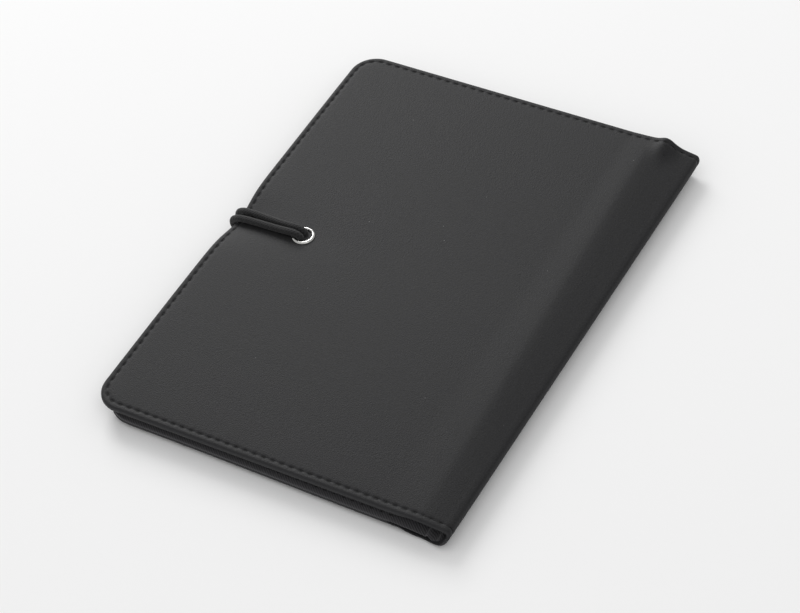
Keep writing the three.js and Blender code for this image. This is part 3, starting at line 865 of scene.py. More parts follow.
def loop_route(count):
    """The whole loop, one strand there and one back, joined by an arc round the button, and
    the sideways reference that its braid turns on."""
    strand = np.array(STRAND)
    side = strand[:, 1]
    middle = CORD_Y + LOOP_DRIFT * (1 - smooth(2, 28, strand[:, 0]))
    there = np.stack([strand[:, 0], middle + side, strand[:, 2]], 1)
    back = np.stack([strand[:, 0], middle - side, strand[:, 2]], 1)[::-1]
    angle = np.radians(np.linspace(60, -60, 5))
    arc_x = BUTTON_X + LOOP_END_RADIUS * np.cos(angle)
    arc_y = CORD_Y + LOOP_END_RADIUS * np.sin(angle)
    arc = np.stack([arc_x, arc_y, np.full(len(angle), strand[-1, 2])], 1)
    run = np.gradient(strand[:, [0, 2]], axis=0)
    across = unit(np.stack([-run[:, 1], np.zeros(len(run)), run[:, 0]], 1))
    level = np.tile([0.0, 0.0, 1.0], (len(angle), 1))
    route = np.concatenate([there, arc, back])
    reference = np.concatenate([across, level, across[::-1]])
    key = np.concatenate([route, reference], 1)
    even, wanted = resample(spline(key, np.linspace(0, len(key) - 1, 1600)), count)
    return even[:, :3], even[:, 3:], wanted


def elastic_loop_piece(diameter):
    """A round tube along the loop's route, with its UV in turns and millimetres."""
    sides = CORD_SIDES
    centre, reference, run = loop_route(CORD_RINGS)
    tangent = unit(np.gradient(centre, axis=0))
    up = unit(reference - tangent * np.sum(reference * tangent, 1, keepdims=True))
    other = np.cross(tangent, up)
    angle = (np.arange(sides) * 2 * np.pi / sides)[:, None]
    ring = up[:, None] * np.cos(angle) + other[:, None] * np.sin(angle)
    points = centre[:, None] + diameter / 2 * ring
    faces = grid_faces(len(run), sides, wrap_columns=True)[:, ::-1]
    i, j = np.meshgrid(np.arange(len(run) - 1), np.arange(sides), indexing="ij")
    i, j = i.ravel(), j.ravel()
    u = np.stack([j, j, j + 1, j + 1], 1) / sides
    v = np.stack([run[i], run[i + 1], run[i + 1], run[i]], 1)
    uv = np.stack([u, v], 2)[:, ::-1]
    last = (len(run) - 1) * sides
    caps = [range(sides), range(last + sides - 1, last - 1, -1)]
    return mesh_piece("elastic_loop_cord", points, faces, uv, caps)


def lathe(name, profile, x, y, z, closed):
    """A profile of (radius, height) turned about a vertical axis."""
    profile = np.asarray(profile, float)
    steps = LATHE_STEPS
    angle = np.arange(steps) * 2 * np.pi / steps
    ring_x = x + profile[:, :1] * np.cos(angle)
    ring_y = y + profile[:, :1] * np.sin(angle)
    ring_z = np.repeat(z + profile[:, 1:], steps, 1)
    points = np.stack([ring_x, ring_y, ring_z], 2)
    faces = grid_faces(len(profile), steps, wrap_rows=closed, wrap_columns=True)
    last = (len(profile) - 1) * steps
    caps = () if closed else (range(steps), range(last + steps - 1, last - 1, -1))
    return mesh_piece(name, points, faces, caps=caps)


def eyelet_ring():
    """The eyelet's rolled rim, a half circle, and the short tube below it."""
    outer = EYELET_BORE + EYELET_WALL
    turn = np.linspace(np.pi, 0, 25)
    rim_radius = EYELET_RIM + EYELET_ROLL * np.cos(turn)
    rim = np.stack([rim_radius, EYELET_LIFT + EYELET_ROLL * np.sin(turn)], 1)
    foot = -EYELET_TUBE
    lower = [[outer, EYELET_LIFT], [outer, foot], [EYELET_BORE, foot], [EYELET_BORE, -0.5]]
    face = float(front_height(EYELET_X, CORD_Y, 0.0))
    return lathe("eyelet_ring", np.concatenate([rim, lower]), EYELET_X, CORD_Y, face, True)


def back_button():
    """A low button: a stem from inside the back cover and a flat head with round edges."""
    top = float(back_height(BUTTON_X, CORD_Y, BACK_THICK - 0.5)) - 0.3
    thick = BUTTON_HEAD_THICK
    stem = BUTTON_STEM
    shaft = [[0.4, top], [stem - 0.2, top], [stem, top - 0.2], [stem, thick + 0.1], [stem + 0.15, thick]]
    corner = np.linspace(0, np.pi / 2, 7)
    far = BUTTON_EDGE * np.cos(corner)
    near = BUTTON_EDGE * np.sin(corner)
    inner = BUTTON_HEAD - BUTTON_EDGE
    upper = np.stack([inner + near, thick - BUTTON_EDGE + far], 1)
    under = np.stack([inner + far, BUTTON_EDGE - near], 1)
    profile = np.concatenate([shaft, upper, under, [[3.0, 0.0], [0.4, 0.0]]])
    return lathe("button_on_the_back", profile, BUTTON_X, CORD_Y, 0.0, False)


def pen_loop_band():
    """A webbing band: along its tab, once round an ellipse and back along the tab."""
    rows, columns = 110, 25
    wide, high = PEN_LOOP_RADII
    angle = np.radians(np.linspace(190, 530, 40))
    loop_x = PEN_LOOP_X + wide * np.cos(angle)
    loop = np.stack([loop_x, PEN_LOOP_Z + high * np.sin(angle)], 1)
    low = PEN_LOOP_Z - TAB_GAP / 2
    start = np.array([[BACK_PANEL + reach, low] for reach in (-12, -4, 1)])
    end = start[::-1] + [0.0, TAB_GAP]
    path, _ = resample(np.concatenate([start, loop, end]), rows)
    y = np.linspace(CORD_Y - PEN_LOOP_HALF_WIDTH, CORD_Y + PEN_LOOP_HALF_WIDTH, columns)
    x, z = (np.repeat(path[:, n : n + 1], columns, 1) for n in (0, 1))
    points = np.stack([x, np.repeat(y[None], rows, 0), z], 2)
    piece = mesh_piece("pen_loop_webbing", points, grid_faces(rows, columns))
    return thicken(piece, WEBBING_THICK, 0.0)


def feed(tree, node, inputs):
    """Gives a node's inputs their values, each a number, a colour or a socket to link."""
    for key, value in inputs.items():
        if isinstance(value, bpy.types.NodeSocket):
            tree.links.new(value, node.inputs[key])
        else:
            node.inputs[key].default_value = value
    return node


def spaced(named):
    """Keyword names as socket labels, with a space for each underscore."""
    return {key.replace("_", " "): value for key, value in named.items()}


def add_node(tree, kind, inputs=None, **settings):
    """One shader node with its settings and its inputs."""
    made = tree.nodes.new(kind)
    for key, value in settings.items():
        setattr(made, key, value)
    return feed(tree, made, inputs or {})


def calculate(tree, operation, *values):
    """The result of one sum on numbers or sockets."""
    return add_node(tree, "ShaderNodeMath", dict(enumerate(values)), operation=operation).outputs[0]


def times(tree, first, second):
    """The product of two numbers or sockets."""
    return calculate(tree, "MULTIPLY", first, second)


def noise(tree, place, scale, detail):
    """A noise texture's value at a place."""
    inputs = {"Vector": place, "Scale": scale, "Detail": detail}
    return add_node(tree, "ShaderNodeTexNoise", inputs).outputs["Fac"]


def new_group(name, inputs, outputs, kind="NodeSocketFloat"):
    """An empty node group, returned with its input and output nodes. Each input is a label
    and its number, or a label and None for a vector; the outputs are labels of one kind."""
    group = bpy.data.node_groups.new(name, "ShaderNodeTree")
    for label, value in inputs.items():
        entry = "NodeSocketVector" if value is None else "NodeSocketFloat"
        socket = group.interface.new_socket(label, in_out="INPUT", socket_type=entry)
        if value is not None:
            socket.default_value = value
    for label in outputs:
        group.interface.new_socket(label, in_out="OUTPUT", socket_type=kind)
    return group, group.nodes.new("NodeGroupInput"), group.nodes.new("NodeGroupOutput")


def use_group(tree, name, **inputs):
    """A shared group's node in a material, with its inputs."""
    return add_node(tree, "ShaderNodeGroup", spaced(inputs), node_tree=shared(name))


def millimetre_place(tree):
    """The point that is shaded, in millimetres."""
    return use_group(tree, "millimetres").outputs["Place"]


def millimetres_group():
    """Object coordinates in millimetres."""
    group, _, leave = new_group("millimetres", {}, ["Place"], "NodeSocketVector")
    place = add_node(group, "ShaderNodeTexCoord").outputs["Object"]
    scaled = add_node(group, "ShaderNodeVectorMath", {0: place, 3: 1 / MM}, operation="SCALE")
    feed(group, leave, {"Place": scaled.outputs[0]})
    return group


def soft_grain_group():
    """The fine grain of coated cloth: two sizes of noise and a slow mottling."""
    sockets = {"Place": None, "Grain": 2.2}
    group, enter, leave = new_group("soft_grain", sockets, ["Height", "Mottle", "Speckle"])
    place = enter.outputs["Place"]
    fine = noise(group, place, enter.outputs["Grain"], 3.0)
    broad = noise(group, place, 1.6, 3.0)
    height = calculate(group, "MULTIPLY_ADD", broad, 0.35, fine)
    cloudy = noise(group, place, 0.03, 3.0)
    feed(group, leave, {"Height": height, "Mottle": cloudy, "Speckle": broad})
    return group


def twill_group():
    """Diagonal twill: ribs along x + y, broken up by the threads that cross them."""
    group, enter, leave = new_group("twill_weave", {"Place": None, "Rib": 0.9}, ["Height"])
    axes = add_node(group, "ShaderNodeSeparateXYZ", {0: enter.outputs["Place"]})
    sum_xy = calculate(group, "ADD", axes.outputs[0], axes.outputs[1])
    level = calculate(group, "ADD", sum_xy, axes.outputs[2])
    turn = calculate(group, "DIVIDE", FULL_TURN, enter.outputs["Rib"])
    rib = calculate(group, "SINE", times(group, level, turn))
    thread = calculate(group, "SINE", times(group, axes.outputs[0], times(group, turn, 1.9)))
    woven = calculate(group, "MULTIPLY_ADD", thread, 0.3, rib)
    feed(group, leave, {"Height": calculate(group, "MULTIPLY_ADD", woven, 0.38, 0.5)})
    return group


def specks_group():
    """Sparse pale specks of dust: the centres of scattered cells that pass a draw."""
    group, enter, leave = new_group("dust_specks", {"Place": None, "Amount": 0.03}, ["Mask"])
    scatter = {"Vector": enter.outputs["Place"], "Scale": 0.22, "Randomness": 1.0}
    cells = add_node(group, "ShaderNodeTexVoronoi", scatter)
    draw = add_node(group, "ShaderNodeSeparateColor", {0: cells.outputs["Color"]})
    chosen = calculate(group, "LESS_THAN", draw.outputs[0], enter.outputs["Amount"])
    near = calculate(group, "LESS_THAN", cells.outputs["Distance"], 0.055)
    feed(group, leave, {"Mask": times(group, chosen, near)})
    return group


def seam_group():
    """A sewn line read from the cloth's own seam numbers: a soft groove, puckers between the
    stitches, a hole at each end of a stitch whose mask is painted dark as the shade in it, and a rim mask
    painted paler as the edge's highlight."""
    sockets = {"Pitch": STITCH_PITCH, "Inset": STITCH_INSET}
    group, enter, leave = new_group("sewn_seam", sockets, ["Height", "Hole", "Rim"])
    run = add_node(group, "ShaderNodeAttribute", attribute_name="seam_run").outputs["Fac"]
    distance = add_node(group, "ShaderNodeAttribute", attribute_name="seam_distance").outputs["Fac"]
    away = calculate(group, "SUBTRACT", distance, enter.outputs["Inset"])
    square = times(group, away, away)
    groove = calculate(group, "EXPONENT", times(group, square, -1.6))
    narrow = calculate(group, "EXPONENT", times(group, square, -12.0))
    shifted = calculate(group, "ADD", run, STITCH_OVER)
    phase = calculate(group, "DIVIDE", shifted, enter.outputs["Pitch"])
    turn = calculate(group, "COSINE", times(group, phase, FULL_TURN))
    at_stitch = calculate(group, "MULTIPLY_ADD", turn, 0.5, 0.5)
    # Hole mask: the cover paints it dark as the painted shade in each needle hole.
    pit = times(group, calculate(group, "POWER", at_stitch, 3.0), narrow)
    pucker = times(group, turn, groove)
    height = calculate(group, "MULTIPLY_ADD", pucker, -0.3, times(group, groove, -0.35))
    height = calculate(group, "SUBTRACT", height, times(group, pit, 1.2))
    # Rim mask: the band along the edge and down the turned sides, which the cover paints paler as a
    # painted highlight.
    outside = times(group, calculate(group, "MINIMUM", distance, 0.0), -0.25)
    from_edge = calculate(group, "MAXIMUM", distance, outside)
    rim = calculate(group, "SUBTRACT", 1.0, calculate(group, "MINIMUM", from_edge, 1.0))
    feed(group, leave, {"Height": height, "Hole": pit, "Rim": rim})
    return group


def braid_group():
    """A braid's crossing yarns from its UV: two sets of diagonals, the higher one on top."""
    group, enter, leave = new_group("braid", {"Around": 8.0, "Along": 1.1}, ["Height", "Yarn"])
    uv = add_node(group, "ShaderNodeUVMap", uv_map="UVMap")
    axes = add_node(group, "ShaderNodeSeparateXYZ", {0: uv.outputs[0]})
    across = times(group, axes.outputs[0], enter.outputs["Around"])
    along = times(group, axes.outputs[1], enter.outputs["Along"])
    right = calculate(group, "ADD", across, along)
    left = calculate(group, "SUBTRACT", across, along)
    one = calculate(group, "SINE", times(group, right, FULL_TURN))
    two = calculate(group, "SINE", times(group, left, FULL_TURN))
    yarn = calculate(group, "SINE", times(group, right, 6 * FULL_TURN))
    top = calculate(group, "MAXIMUM", one, two)
    height = calculate(group, "MULTIPLY_ADD", yarn, 0.12, top)
    feed(group, leave, {"Height": height, "Yarn": calculate(group, "MULTIPLY_ADD", top, 0.5, 0.5)})
    return group


GROUPS = {}


def shared(name):
    """A shared node group, built the first time that a material asks for it."""
    makers = {
        "millimetres": millimetres_group,
        "soft_grain": soft_grain_group,
        "twill": twill_group,
        "specks": specks_group,
        "seam": seam_group,
        "braid": braid_group,
    }
    if name not in GROUPS:
        GROUPS[name] = makers[name]()
    return GROUPS[name]


def new_material(name):
    """A material with an output and a Principled shader, its tree and that shader."""
    material = bpy.data.materials.new(name)
    material.use_nodes = True
    tree = material.node_tree
    tree.nodes.clear()
    leave = tree.nodes.new("ShaderNodeOutputMaterial")
    shader = tree.nodes.new("ShaderNodeBsdfPrincipled")
    tree.links.new(shader.outputs[0], leave.inputs["Surface"])
    return material, tree, shader


def connect(tree, shader, **inputs):
    """Gives a shader its inputs, named as keywords."""
    feed(tree, shader, spaced(inputs))


def blend_colours(tree, share, first, second):
    """A colour between two, by a share from 0 to 1."""
    ends = {6: first, 7: second}
    for index, value in ends.items():
        if not isinstance(value, bpy.types.NodeSocket):
            ends[index] = (*value[:3], 1.0)
    mixed = add_node(tree, "ShaderNodeMix", {"Factor": share, **ends}, data_type="RGBA")
    return mixed.outputs[2]


def bump(tree, height, strength, distance, under=None):
    """A normal from a height in millimetres, on top of another normal if one is given."""
    inputs = {"Height": height, "Strength": strength, "Distance": distance * MM}
    if under is not None:
        inputs["Normal"] = under
    return add_node(tree, "ShaderNodeBump", inputs).outputs[0]


def lighter(colour, factor):
    """A colour times a factor, at most 1 in each part."""
    return tuple(min(1.0, part * factor) for part in colour[:3])


def cover_cloth_material(look):
    """Soft black coated cloth: fine grain, slow mottling, pale dust, a paler rim painted as the
    highlight on its rounded edges and partly the paler nap of its turned sides, and painted shade in the
    needle holes of its sewn line."""
    material, tree, shader = new_material("soft_black_cover_cloth")
    place = millimetre_place(tree)
    grain = use_group(tree, "soft_grain", Place=place, Grain=1.9)
    seam = use_group(tree, "seam", Pitch=look.stitch_pitch, Inset=look.stitch_inset)
    specks = use_group(tree, "specks", Place=place, Amount=0.03)
    base = tuple(look.cover_colour)
    speckled = blend_colours(tree, grain.outputs["Speckle"], lighter(base, 0.1), lighter(base, 1.9))
    cloudy = times(tree, grain.outputs["Mottle"], 0.4)
    mottled = blend_colours(tree, cloudy, speckled, lighter(base, 1.15))
    # Painted highlight: the band along the rounded edges and down the turned sides is made paler, partly
    # standing for the paler nap of the sides.
    rim_highlight_and_nap = times(tree, seam.outputs["Rim"], 0.5)
    rimmed = blend_colours(tree, rim_highlight_and_nap, mottled, lighter(base, 2.6))
    # Painted shade: the needle holes of the sewn line are darkened as shade falls in them.
    hole_shade = blend_colours(tree, seam.outputs["Hole"], rimmed, lighter(base, 0.05))
    dust = times(tree, specks.outputs["Mask"], 0.35)
    dusty = blend_colours(tree, dust, hole_shade, (0.3, 0.3, 0.3))
    sewn = bump(tree, seam.outputs["Height"], 0.9, 0.35)
    fine = bump(tree, grain.outputs["Height"], 1.0, 0.14, sewn)
    connect(tree, shader, Base_Color=dusty, Roughness=look.cover_roughness, Normal=fine)
    connect(tree, shader, Sheen_Weight=0.05, Sheen_Roughness=0.5, Specular_IOR_Level=0.17)
    return material


def lining_twill_material(look):
    """Dark twill lining with diagonal ribs and a fuzzy paler nap."""
    material, tree, shader = new_material("dark_twill_lining")
    place = millimetre_place(tree)
    twill = use_group(tree, "twill", Place=place, Rib=look.twill_rib)
    grain = use_group(tree, "soft_grain", Place=place, Grain=3.0)
    base = tuple(look.lining_colour)
    ribs = blend_colours(tree, twill.outputs["Height"], lighter(base, 0.35), lighter(base, 1.9))
    cloudy = times(tree, grain.outputs["Mottle"], 0.3)
    colour = blend_colours(tree, cloudy, ribs, lighter(base, 1.4))
    normal = bump(tree, twill.outputs["Height"], 0.8, 0.14)
    connect(tree, shader, Base_Color=colour, Roughness=0.9, Normal=normal, Sheen_Weight=0.25)
    connect(tree, shader, Sheen_Roughness=0.5, Specular_IOR_Level=0.2)
    return material


def thread_material(look):
    """Black sewing thread, twisted along its length."""
    material, tree, shader = new_material("black_sewing_thread")
    place = millimetre_place(tree)
    wave = {"Vector": place, "Scale": 3.0, "Distortion": 0.4}
    ply = add_node(tree, "ShaderNodeTexWave", wave, bands_direction="DIAGONAL")
    base = tuple(look.thread_colour)
    colour = blend_colours(tree, ply.outputs["Fac"], lighter(base, 0.6), lighter(base, 1.5))
    normal = bump(tree, ply.outputs["Fac"], 0.6, 0.06)
    connect(tree, shader, Base_Color=colour, Roughness=0.7, Normal=normal, Sheen_Weight=0.1)
    connect(tree, shader, Specular_IOR_Level=0.25)
    return material


def elastic_braid_material(look):
    """Textile-covered elastic: matt black yarns crossing round the cord."""
    material, tree, shader = new_material("braided_black_elastic")
    braid = use_group(tree, "braid", Around=5.0, Along=0.75)
    base = tuple(look.cord_colour)
    colour = blend_colours(tree, braid.outputs["Yarn"], lighter(base, 0.4), lighter(base, 1.5))
    normal = bump(tree, braid.outputs["Height"], 0.7, 0.16)
    connect(tree, shader, Base_Color=colour, Roughness=0.75, Normal=normal, Sheen_Weight=0.15)
    connect(tree, shader, Specular_IOR_Level=0.25)
    return material


def webbing_material(look):
    """Ribbed elastic webbing: cross ribs with a fine zigzag."""
    material, tree, shader = new_material("ribbed_webbing")
    place = millimetre_place(tree)
    wave = {"Vector": place, "Scale": 0.45, "Distortion": 0.2}
    rib = add_node(tree, "ShaderNodeTexWave", wave, bands_direction="Y")
    grain = use_group(tree, "soft_grain", Place=place, Grain=4.0)
    height = calculate(tree, "MULTIPLY_ADD", grain.outputs["Height"], 0.3, rib.outputs["Fac"])
    base = tuple(look.lining_colour)
    colour = blend_colours(tree, rib.outputs["Fac"], lighter(base, 0.6), lighter(base, 1.6))
    normal = bump(tree, height, 0.8, 0.15)
    connect(tree, shader, Base_Color=colour, Roughness=0.85, Normal=normal, Sheen_Weight=0.2)
    return material


def nickel_material(look):
    """Polished nickel with hair scratches and a faintly uneven polish."""
    material, tree, shader = new_material("polished_nickel")
    place = millimetre_place(tree)
    uneven = noise(tree, place, 0.9, 4.0)
    stretched = add_node(tree, "ShaderNodeMapping", {"Vector": place, "Scale": (1.0, 9.0, 3.0)})
    scratches = noise(tree, stretched.outputs[0], 3.0, 2.0)
    polish = {"Value": uneven, "From Min": 0.3, "From Max": 0.7, "To Min": 0.08, "To Max": 0.16}
    rough = add_node(tree, "ShaderNodeMapRange", polish)
    base = tuple(look.nickel_colour)
    colour = blend_colours(tree, uneven, base, lighter(base, 0.86))
    normal = bump(tree, scratches, 0.03, 0.01)
    connect(tree, shader, Base_Color=colour, Metallic=1.0, Roughness=rough.outputs[0], Normal=normal)
    return material


def foam_material(look):
    """Grey padding foam: open cells, painted darker towards their middles as the shade inside the pores.
    """
    material, tree, shader = new_material("padding_foam")
    place = millimetre_place(tree)
    cells = add_node(tree, "ShaderNodeTexVoronoi", {"Vector": place, "Scale": 1.6})
    # Painted shade: each cell is darker towards its middle, as shade in the open pore.
    colour = blend_colours(tree, cells.outputs["Distance"], (0.03, 0.03, 0.032), (0.16, 0.16, 0.165))
    normal = bump(tree, cells.outputs["Distance"], 0.8, 0.3)
    connect(tree, shader, Base_Color=colour, Roughness=0.95, Normal=normal)
    return material


def grey_board_material(look):
    """Grey bookbinder's board with flecks and long fibres."""
    material, tree, shader = new_material("grey_board")
    place = millimetre_place(tree)
    flecks = noise(tree, place, 1.3, 5.0)
    colour = blend_colours(tree, flecks, (0.25, 0.22, 0.18), (0.5, 0.46, 0.4))
    connect(tree, shader, Base_Color=colour, Roughness=0.9, Normal=bump(tree, flecks, 0.4, 0.08))
    return material


def floor_material(look):
    """Plain pale studio floor with a barely visible unevenness."""
    material, tree, shader = new_material("pale_floor")
    place = add_node(tree, "ShaderNodeTexCoord").outputs["Object"]
    base = tuple(look.floor_colour)
    colour = blend_colours(tree, noise(tree, place, 1.5, 2.0), base, lighter(base, 0.985))
    connect(tree, shader, Base_Color=colour, Roughness=0.85, Specular_IOR_Level=0.2)
    return material


MATERIALS = {}


def material_for(name, look):
    """One of the folder's materials, built once from the panel's colours."""
    makers = {
        "cover": cover_cloth_material,
        "lining": lining_twill_material,
        "thread": thread_material,
        "braid": elastic_braid_material,
        "webbing": webbing_material,
        "nickel": nickel_material,
        "foam": foam_material,
        "board": grey_board_material,
        "floor": floor_material,
    }
    if name not in MATERIALS:
        MATERIALS[name] = makers[name](look)
    return MATERIALS[name]


def dress(piece, name, look):
    """Gives a new piece its material."""
    piece.data.materials.clear()
    piece.data.materials.append(material_for(name, look))
    return piece


def dress_cad(node, name, look):
    """Gives a CAD node that stays a procedural material."""
    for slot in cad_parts[node].material_slots:
        slot.material = material_for(name, look)


def row_point(x, y, z):
    """One point from folder millimetres to metres in the row frame."""
    return (FORE_X + x * MM, TAIL_Y + y * MM, z * MM)


def blend_ridge(piece):
    """Bakes a piece's placement into its points."""
    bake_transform(piece)


def blend_bend(piece):
    """Bakes a piece's placement into its points."""
    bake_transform(piece)


def take_place(piece, node, body):
    """Puts a new piece in a CAD node's place, on its body."""
    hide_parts(node)
    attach(piece, body)


class FolderSizes(bpy.types.PropertyGroup):
    mesh_step: FloatProperty(
        name="Mesh step", description="Widest spacing of the points across a cover, in millimetres",
        default=1.2, min=0.8, max=4.0,
    )
    stitch_pitch: FloatProperty(
        name="Stitch pitch", description="From one stitch to the next, in millimetres",
        default=STITCH_PITCH, min=2.0, max=8.0,
    )
    stitch_length: FloatProperty(
        name="Stitch length", description="How much of each stitch shows, in millimetres",
        default=1.7, min=1.0, max=6.0,
    )
    stitch_inset: FloatProperty(
        name="Stitch inset", description="From the edge to the sewn line, in millimetres",
        default=STITCH_INSET, min=1.5, max=6.0,
    )
    thread_width: FloatProperty(
        name="Thread width", description="Thickness of the sewing thread, in millimetres",
        default=0.46, min=0.2, max=1.2,
    )
    cord_diameter: FloatProperty(
        name="Cord diameter", description="Thickness of the elastic loop, in millimetres",
        default=3.2, min=1.5, max=4.0,
    )
    twill_rib: FloatProperty(
        name="Twill rib", description="Width of one diagonal rib of the lining, in millimetres",
        default=1.3, min=0.5, max=3.0,
    )


def colour_property(label, purpose, default):
    """A colour on the panel."""
    return FloatVectorProperty(
        name=label, description=purpose, default=default, size=3, min=0.0, max=1.0, subtype="COLOR"
    )


class FolderColours(bpy.types.PropertyGroup):
    cover_colour: colour_property("Cover", "Colour of the covers' cloth", (0.0142, 0.0142, 0.0151))
    lining_colour: colour_property("Lining", "Colour of the twill lining", (0.042, 0.041, 0.044))
    thread_colour: colour_property("Thread", "Colour of the sewing thread", (0.005, 0.005, 0.005))
    cord_colour: colour_property("Cord", "Colour of the elastic loop", (0.012, 0.012, 0.0125))
    nickel_colour: colour_property("Nickel", "Colour of the eyelet and button", (0.6, 0.595, 0.58))
    floor_colour: colour_property("Floor", "Colour of the studio floor", (0.93, 0.93, 0.93))
    cover_roughness: FloatProperty(
        name="Cover roughness", description="How matt the covers are", default=0.52,
        min=0.2, max=1.0, subtype="FACTOR",
    )
    key_power: FloatProperty(
        name="Key light", description="Power of the large soft light, in watts", default=26.0,
        min=0.0, max=200.0,
    )
    room_light: FloatProperty(
        name="Room light", description="Strength of the even light of the room", default=0.66,
        min=0.0, max=2.0, subtype="FACTOR",
    )


def panel_values(scene):
    """The panel's sizes and colours under one name."""
    values = {}
    for group in (scene.folder_sizes, scene.folder_colours):
        for name in group.__annotations__:
            values[name] = getattr(group, name)
    return SimpleNamespace(**values)


class FOLDER_OT_covers(bpy.types.Operator):
    """Make the cloth of both covers and of the spine"""

    bl_idname = "folder.covers"
    bl_label = "Covers"

    def execute(self, context):
        look = panel_values(context.scene)
        front = dress(front_cover_cloth(look.mesh_step), "cover", look)
        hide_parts("front_outer_cover", "spine_strip")
        blend_ridge(front)
        back = dress(spine_back_cloth(look.mesh_step), "cover", look)
        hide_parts("back_outer_cover", "spine_bend")
        blend_bend(back)
        return {"FINISHED"}


class FOLDER_OT_linings(bpy.types.Operator):
    """Make the twill linings, the document pocket and the pad panel"""

    bl_idname = "folder.linings"
    bl_label = "Linings"

    def execute(self, context):
        look = panel_values(context.scene)
        front = dress(front_lining(look.mesh_step * LINING_STEP), "lining", look)
        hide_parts("front_lining", "spine_strip_lining")
        blend_ridge(front)
        back = dress(back_lining(look.mesh_step * LINING_STEP), "lining", look)
        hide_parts("back_lining", "bend_lining")
        blend_bend(back)

        def pocket_height(x, y):
            return front_height(x, y, FRONT_THICK + LINING_THICK)

        def panel_height(x, y):
            return back_height(x, y, BACK_THICK + LINING_THICK + PANEL_THICK)

        pocket = inner_panel("document_pocket_cloth", POCKET_X, pocket_height, True, POCKET_X[1])
        dress(pocket, "lining", look)
        take_place(pocket, "document_pocket", "front_cover")
        hem = PAD_PANEL_X[0]
        panel = inner_panel("pad_panel_cloth", PAD_PANEL_X, panel_height, False, hem, BACK_SHIFT)
        dress(panel, "lining", look)
        take_place(panel, "pad_panel", "back_cover")
        return {"FINISHED"}


class FOLDER_OT_stitching(bpy.types.Operator):
    """Sew both covers along their edges, outside and on the linings"""

    bl_idname = "folder.stitching"
    bl_label = "Stitching"

    def execute(self, context):
        look = panel_values(context.scene)
        inset = look.stitch_inset

        def front(x, y):
            return front_top(x, y) + edge_relief(edge_distance(x, y, 0.0))

        def lining(x, y):
            return front_height(x, y, FRONT_THICK)

        def back(x, y):
            distance = edge_distance(x - BACK_FORE, y - back_shift(x), BACK_INSET)
            return back_height(x, y, 0.0) - edge_relief(distance)

        def back_inside(x, y):
            return back_height(x, y, BACK_THICK)

        straight = seam_marks(inset)[3] + FRONT_PANEL - CORNER - 6
        rows = [
            ("front_stitching", inset, front, 1, None, None, "front_cover"),
            ("front_lining_stitching", inset, lining, -1, 8.0, straight, "front_cover"),
            ("back_stitching", inset + BACK_INSET, back, -1, 6.0, straight - 4, "back_cover"),
            ("back_lining_stitching", inset + BACK_INSET, back_inside, 1, 6.0, straight - 4, "back_cover"),
        ]
        for name, at, surface, up, first, last, body in rows:
            threads = stitch_row(name, at, surface, up, look, first, last, body == "back_cover")
            dress(threads, "thread", look)
            if name == "front_stitching":
                blend_ridge(threads)
            else:
                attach(threads, body)
        return {"FINISHED"}


class FOLDER_OT_closure(bpy.types.Operator):
    """Make the elastic loop, the eyelet it leaves by and the button it hooks on"""

    bl_idname = "folder.closure"
    bl_label = "Closure"

    def execute(self, context):
        look = panel_values(context.scene)
        cord = dress(elastic_loop_piece(look.cord_diameter), "braid", look)
        take_place(cord, "elastic_loop", "front_cover")
        ring = dress(eyelet_ring(), "nickel", look)
        take_place(ring, "eyelet", "front_cover")
        button = dress(back_button(), "nickel", look)
        take_place(button, "closure_button", "back_cover")
        dress_cad("eyelet_washer", "nickel", look)
        dress_cad("cord_clamp", "nickel", look)
        return {"FINISHED"}


class FOLDER_OT_pen_loop(bpy.types.Operator):
    """Make the webbing loop that holds a pen in the spine"""

    bl_idname = "folder.pen_loop"
    bl_label = "Pen Loop"

    def execute(self, context):
        look = panel_values(context.scene)
        band = dress(pen_loop_band(), "webbing", look)
        take_place(band, "pen_loop", "back_cover")
        return {"FINISHED"}


class FOLDER_OT_stiffening(bpy.types.Operator):
    """Finish the boards and the padding inside the covers"""

    bl_idname = "folder.stiffening"
    bl_label = "Boards and Padding"

    def execute(self, context):
        look = panel_values(context.scene)
        dress_cad("front_board", "board", look)
        dress_cad("back_board", "board", look)
        dress_cad("front_padding", "foam", look)
        return {"FINISHED"}


def add_light(name, place, power):
    """A square soft light at a place, turned to the origin."""
    light = bpy.data.lights.new(name, "AREA")
    light.shape = "SQUARE"
    light.size = LIGHT_SIZE
    light.energy = power
    lamp = bpy.data.objects.new(name, light)
    turned = (-Vector(place)).to_track_quat("-Z", "Y").to_matrix().to_4x4()
    lamp.matrix_world = Matrix.Translation(place) @ turned
    bpy.context.scene.collection.objects.link(lamp)


def photo_camera():
    """The camera of the photograph: it looks at its target from an azimuth and a height,
    and is rolled about its own axis."""
    azimuth = math.radians(CAMERA_AZIMUTH)
    height = math.radians(CAMERA_ELEVATION)
    roll = math.radians(CAMERA_ROLL)
    right = Vector((math.cos(azimuth), math.sin(azimuth), 0.0))
    level_back = Vector((math.sin(azimuth), -math.cos(azimuth), 0.0))
    back = level_back * math.cos(height) + Vector((0.0, 0.0, math.sin(height)))
    up = back.cross(right)
    turned = math.cos(roll) * right + math.sin(roll) * up
    level = -math.sin(roll) * right + math.cos(roll) * up
    lens = bpy.data.cameras.new("photo_camera")
    lens.sensor_width = SENSOR_WIDTH
    lens.lens = SENSOR_WIDTH * FOCAL_PIXELS / PHOTO_WIDTH
    camera = bpy.data.objects.new("photo_camera", lens)
    axes = Matrix((turned, level, back)).transposed().to_4x4()
    target = Vector(row_point(*CAMERA_TARGET, 0.0))
    camera.matrix_world = Matrix.Translation(target + back * CAMERA_DISTANCE * MM) @ axes
    bpy.context.scene.collection.objects.link(camera)
    bpy.context.scene.camera = camera


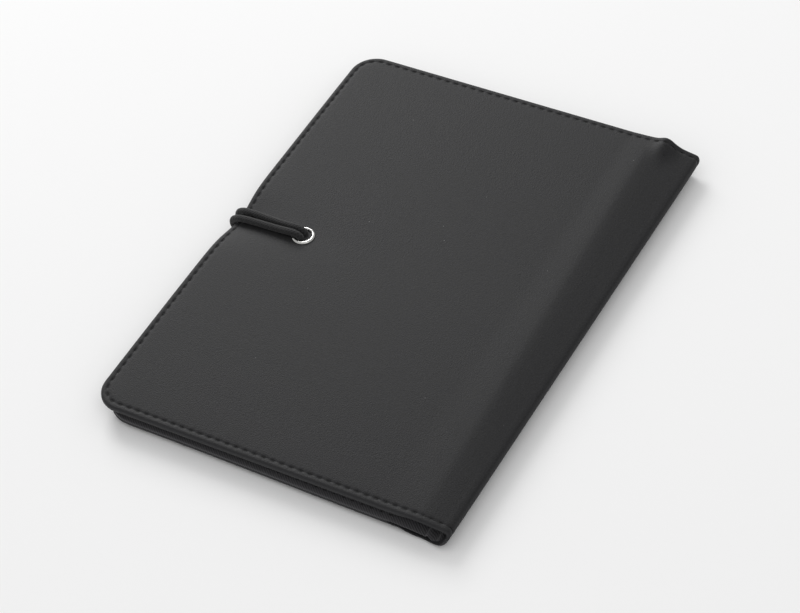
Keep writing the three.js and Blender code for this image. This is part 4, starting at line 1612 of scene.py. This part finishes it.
class FOLDER_OT_stage(bpy.types.Operator):
    """Set up the pale floor, the soft light and the photograph's camera"""

    bl_idname = "folder.stage"
    bl_label = "Stage"

    def execute(self, context):
        look = panel_values(context.scene)
        photo_camera()
        mesh = bpy.data.meshes.new("floor")
        signs = [(-1, -1), (1, -1), (1, 1), (-1, 1)]
        corners = [(sx * FLOOR_REACH, sy * FLOOR_REACH, FLOOR_Z) for sx, sy in signs]
        mesh.from_pydata(corners, [], [(0, 1, 2, 3)])
        floor = bpy.data.objects.new("floor", mesh)
        context.scene.collection.objects.link(floor)
        mesh.materials.append(material_for("floor", look))
        world = bpy.data.worlds.new("studio_light")
        world.use_nodes = True
        shade = world.node_tree.nodes["Background"]
        shade.inputs["Color"].default_value = (1.0, 1.0, 1.0, 1.0)
        shade.inputs["Strength"].default_value = look.room_light
        context.scene.world = world
        add_light("key_light", KEY_PLACE, look.key_power)
        add_light("fill_light", FILL_PLACE, look.key_power * FILL_SHARE)
        context.scene.view_settings.view_transform = "Standard"
        return {"FINISHED"}


OPERATORS = (
    FOLDER_OT_stage,
    FOLDER_OT_covers,
    FOLDER_OT_linings,
    FOLDER_OT_stitching,
    FOLDER_OT_closure,
    FOLDER_OT_pen_loop,
    FOLDER_OT_stiffening,
)


class FOLDER_PT_panel(bpy.types.Panel):
    bl_idname = "FOLDER_PT_panel"
    bl_label = "Portfolio Folder"
    bl_space_type = "VIEW_3D"
    bl_region_type = "UI"
    bl_category = "Folder"

    def draw(self, context):
        for group in (context.scene.folder_sizes, context.scene.folder_colours):
            box = self.layout.box()
            for name in group.__annotations__:
                box.prop(group, name)
        for operator in OPERATORS:
            self.layout.operator(operator.bl_idname)


CLASSES = (FolderSizes, FolderColours, *OPERATORS, FOLDER_PT_panel)


def register():
    for item in CLASSES:
        bpy.utils.register_class(item)
    bpy.types.Scene.folder_sizes = PointerProperty(type=FolderSizes)
    bpy.types.Scene.folder_colours = PointerProperty(type=FolderColours)


def unregister():
    del bpy.types.Scene.folder_colours
    del bpy.types.Scene.folder_sizes
    for item in reversed(CLASSES):
        bpy.utils.unregister_class(item)


def main():
    """Registers the add-on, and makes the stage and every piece."""
    register()
    bpy.ops.folder.stage()
    bpy.ops.folder.covers()
    bpy.ops.folder.linings()
    bpy.ops.folder.stitching()
    bpy.ops.folder.closure()
    bpy.ops.folder.pen_loop()
    bpy.ops.folder.stiffening()


if __name__ == "__main__":
    main()
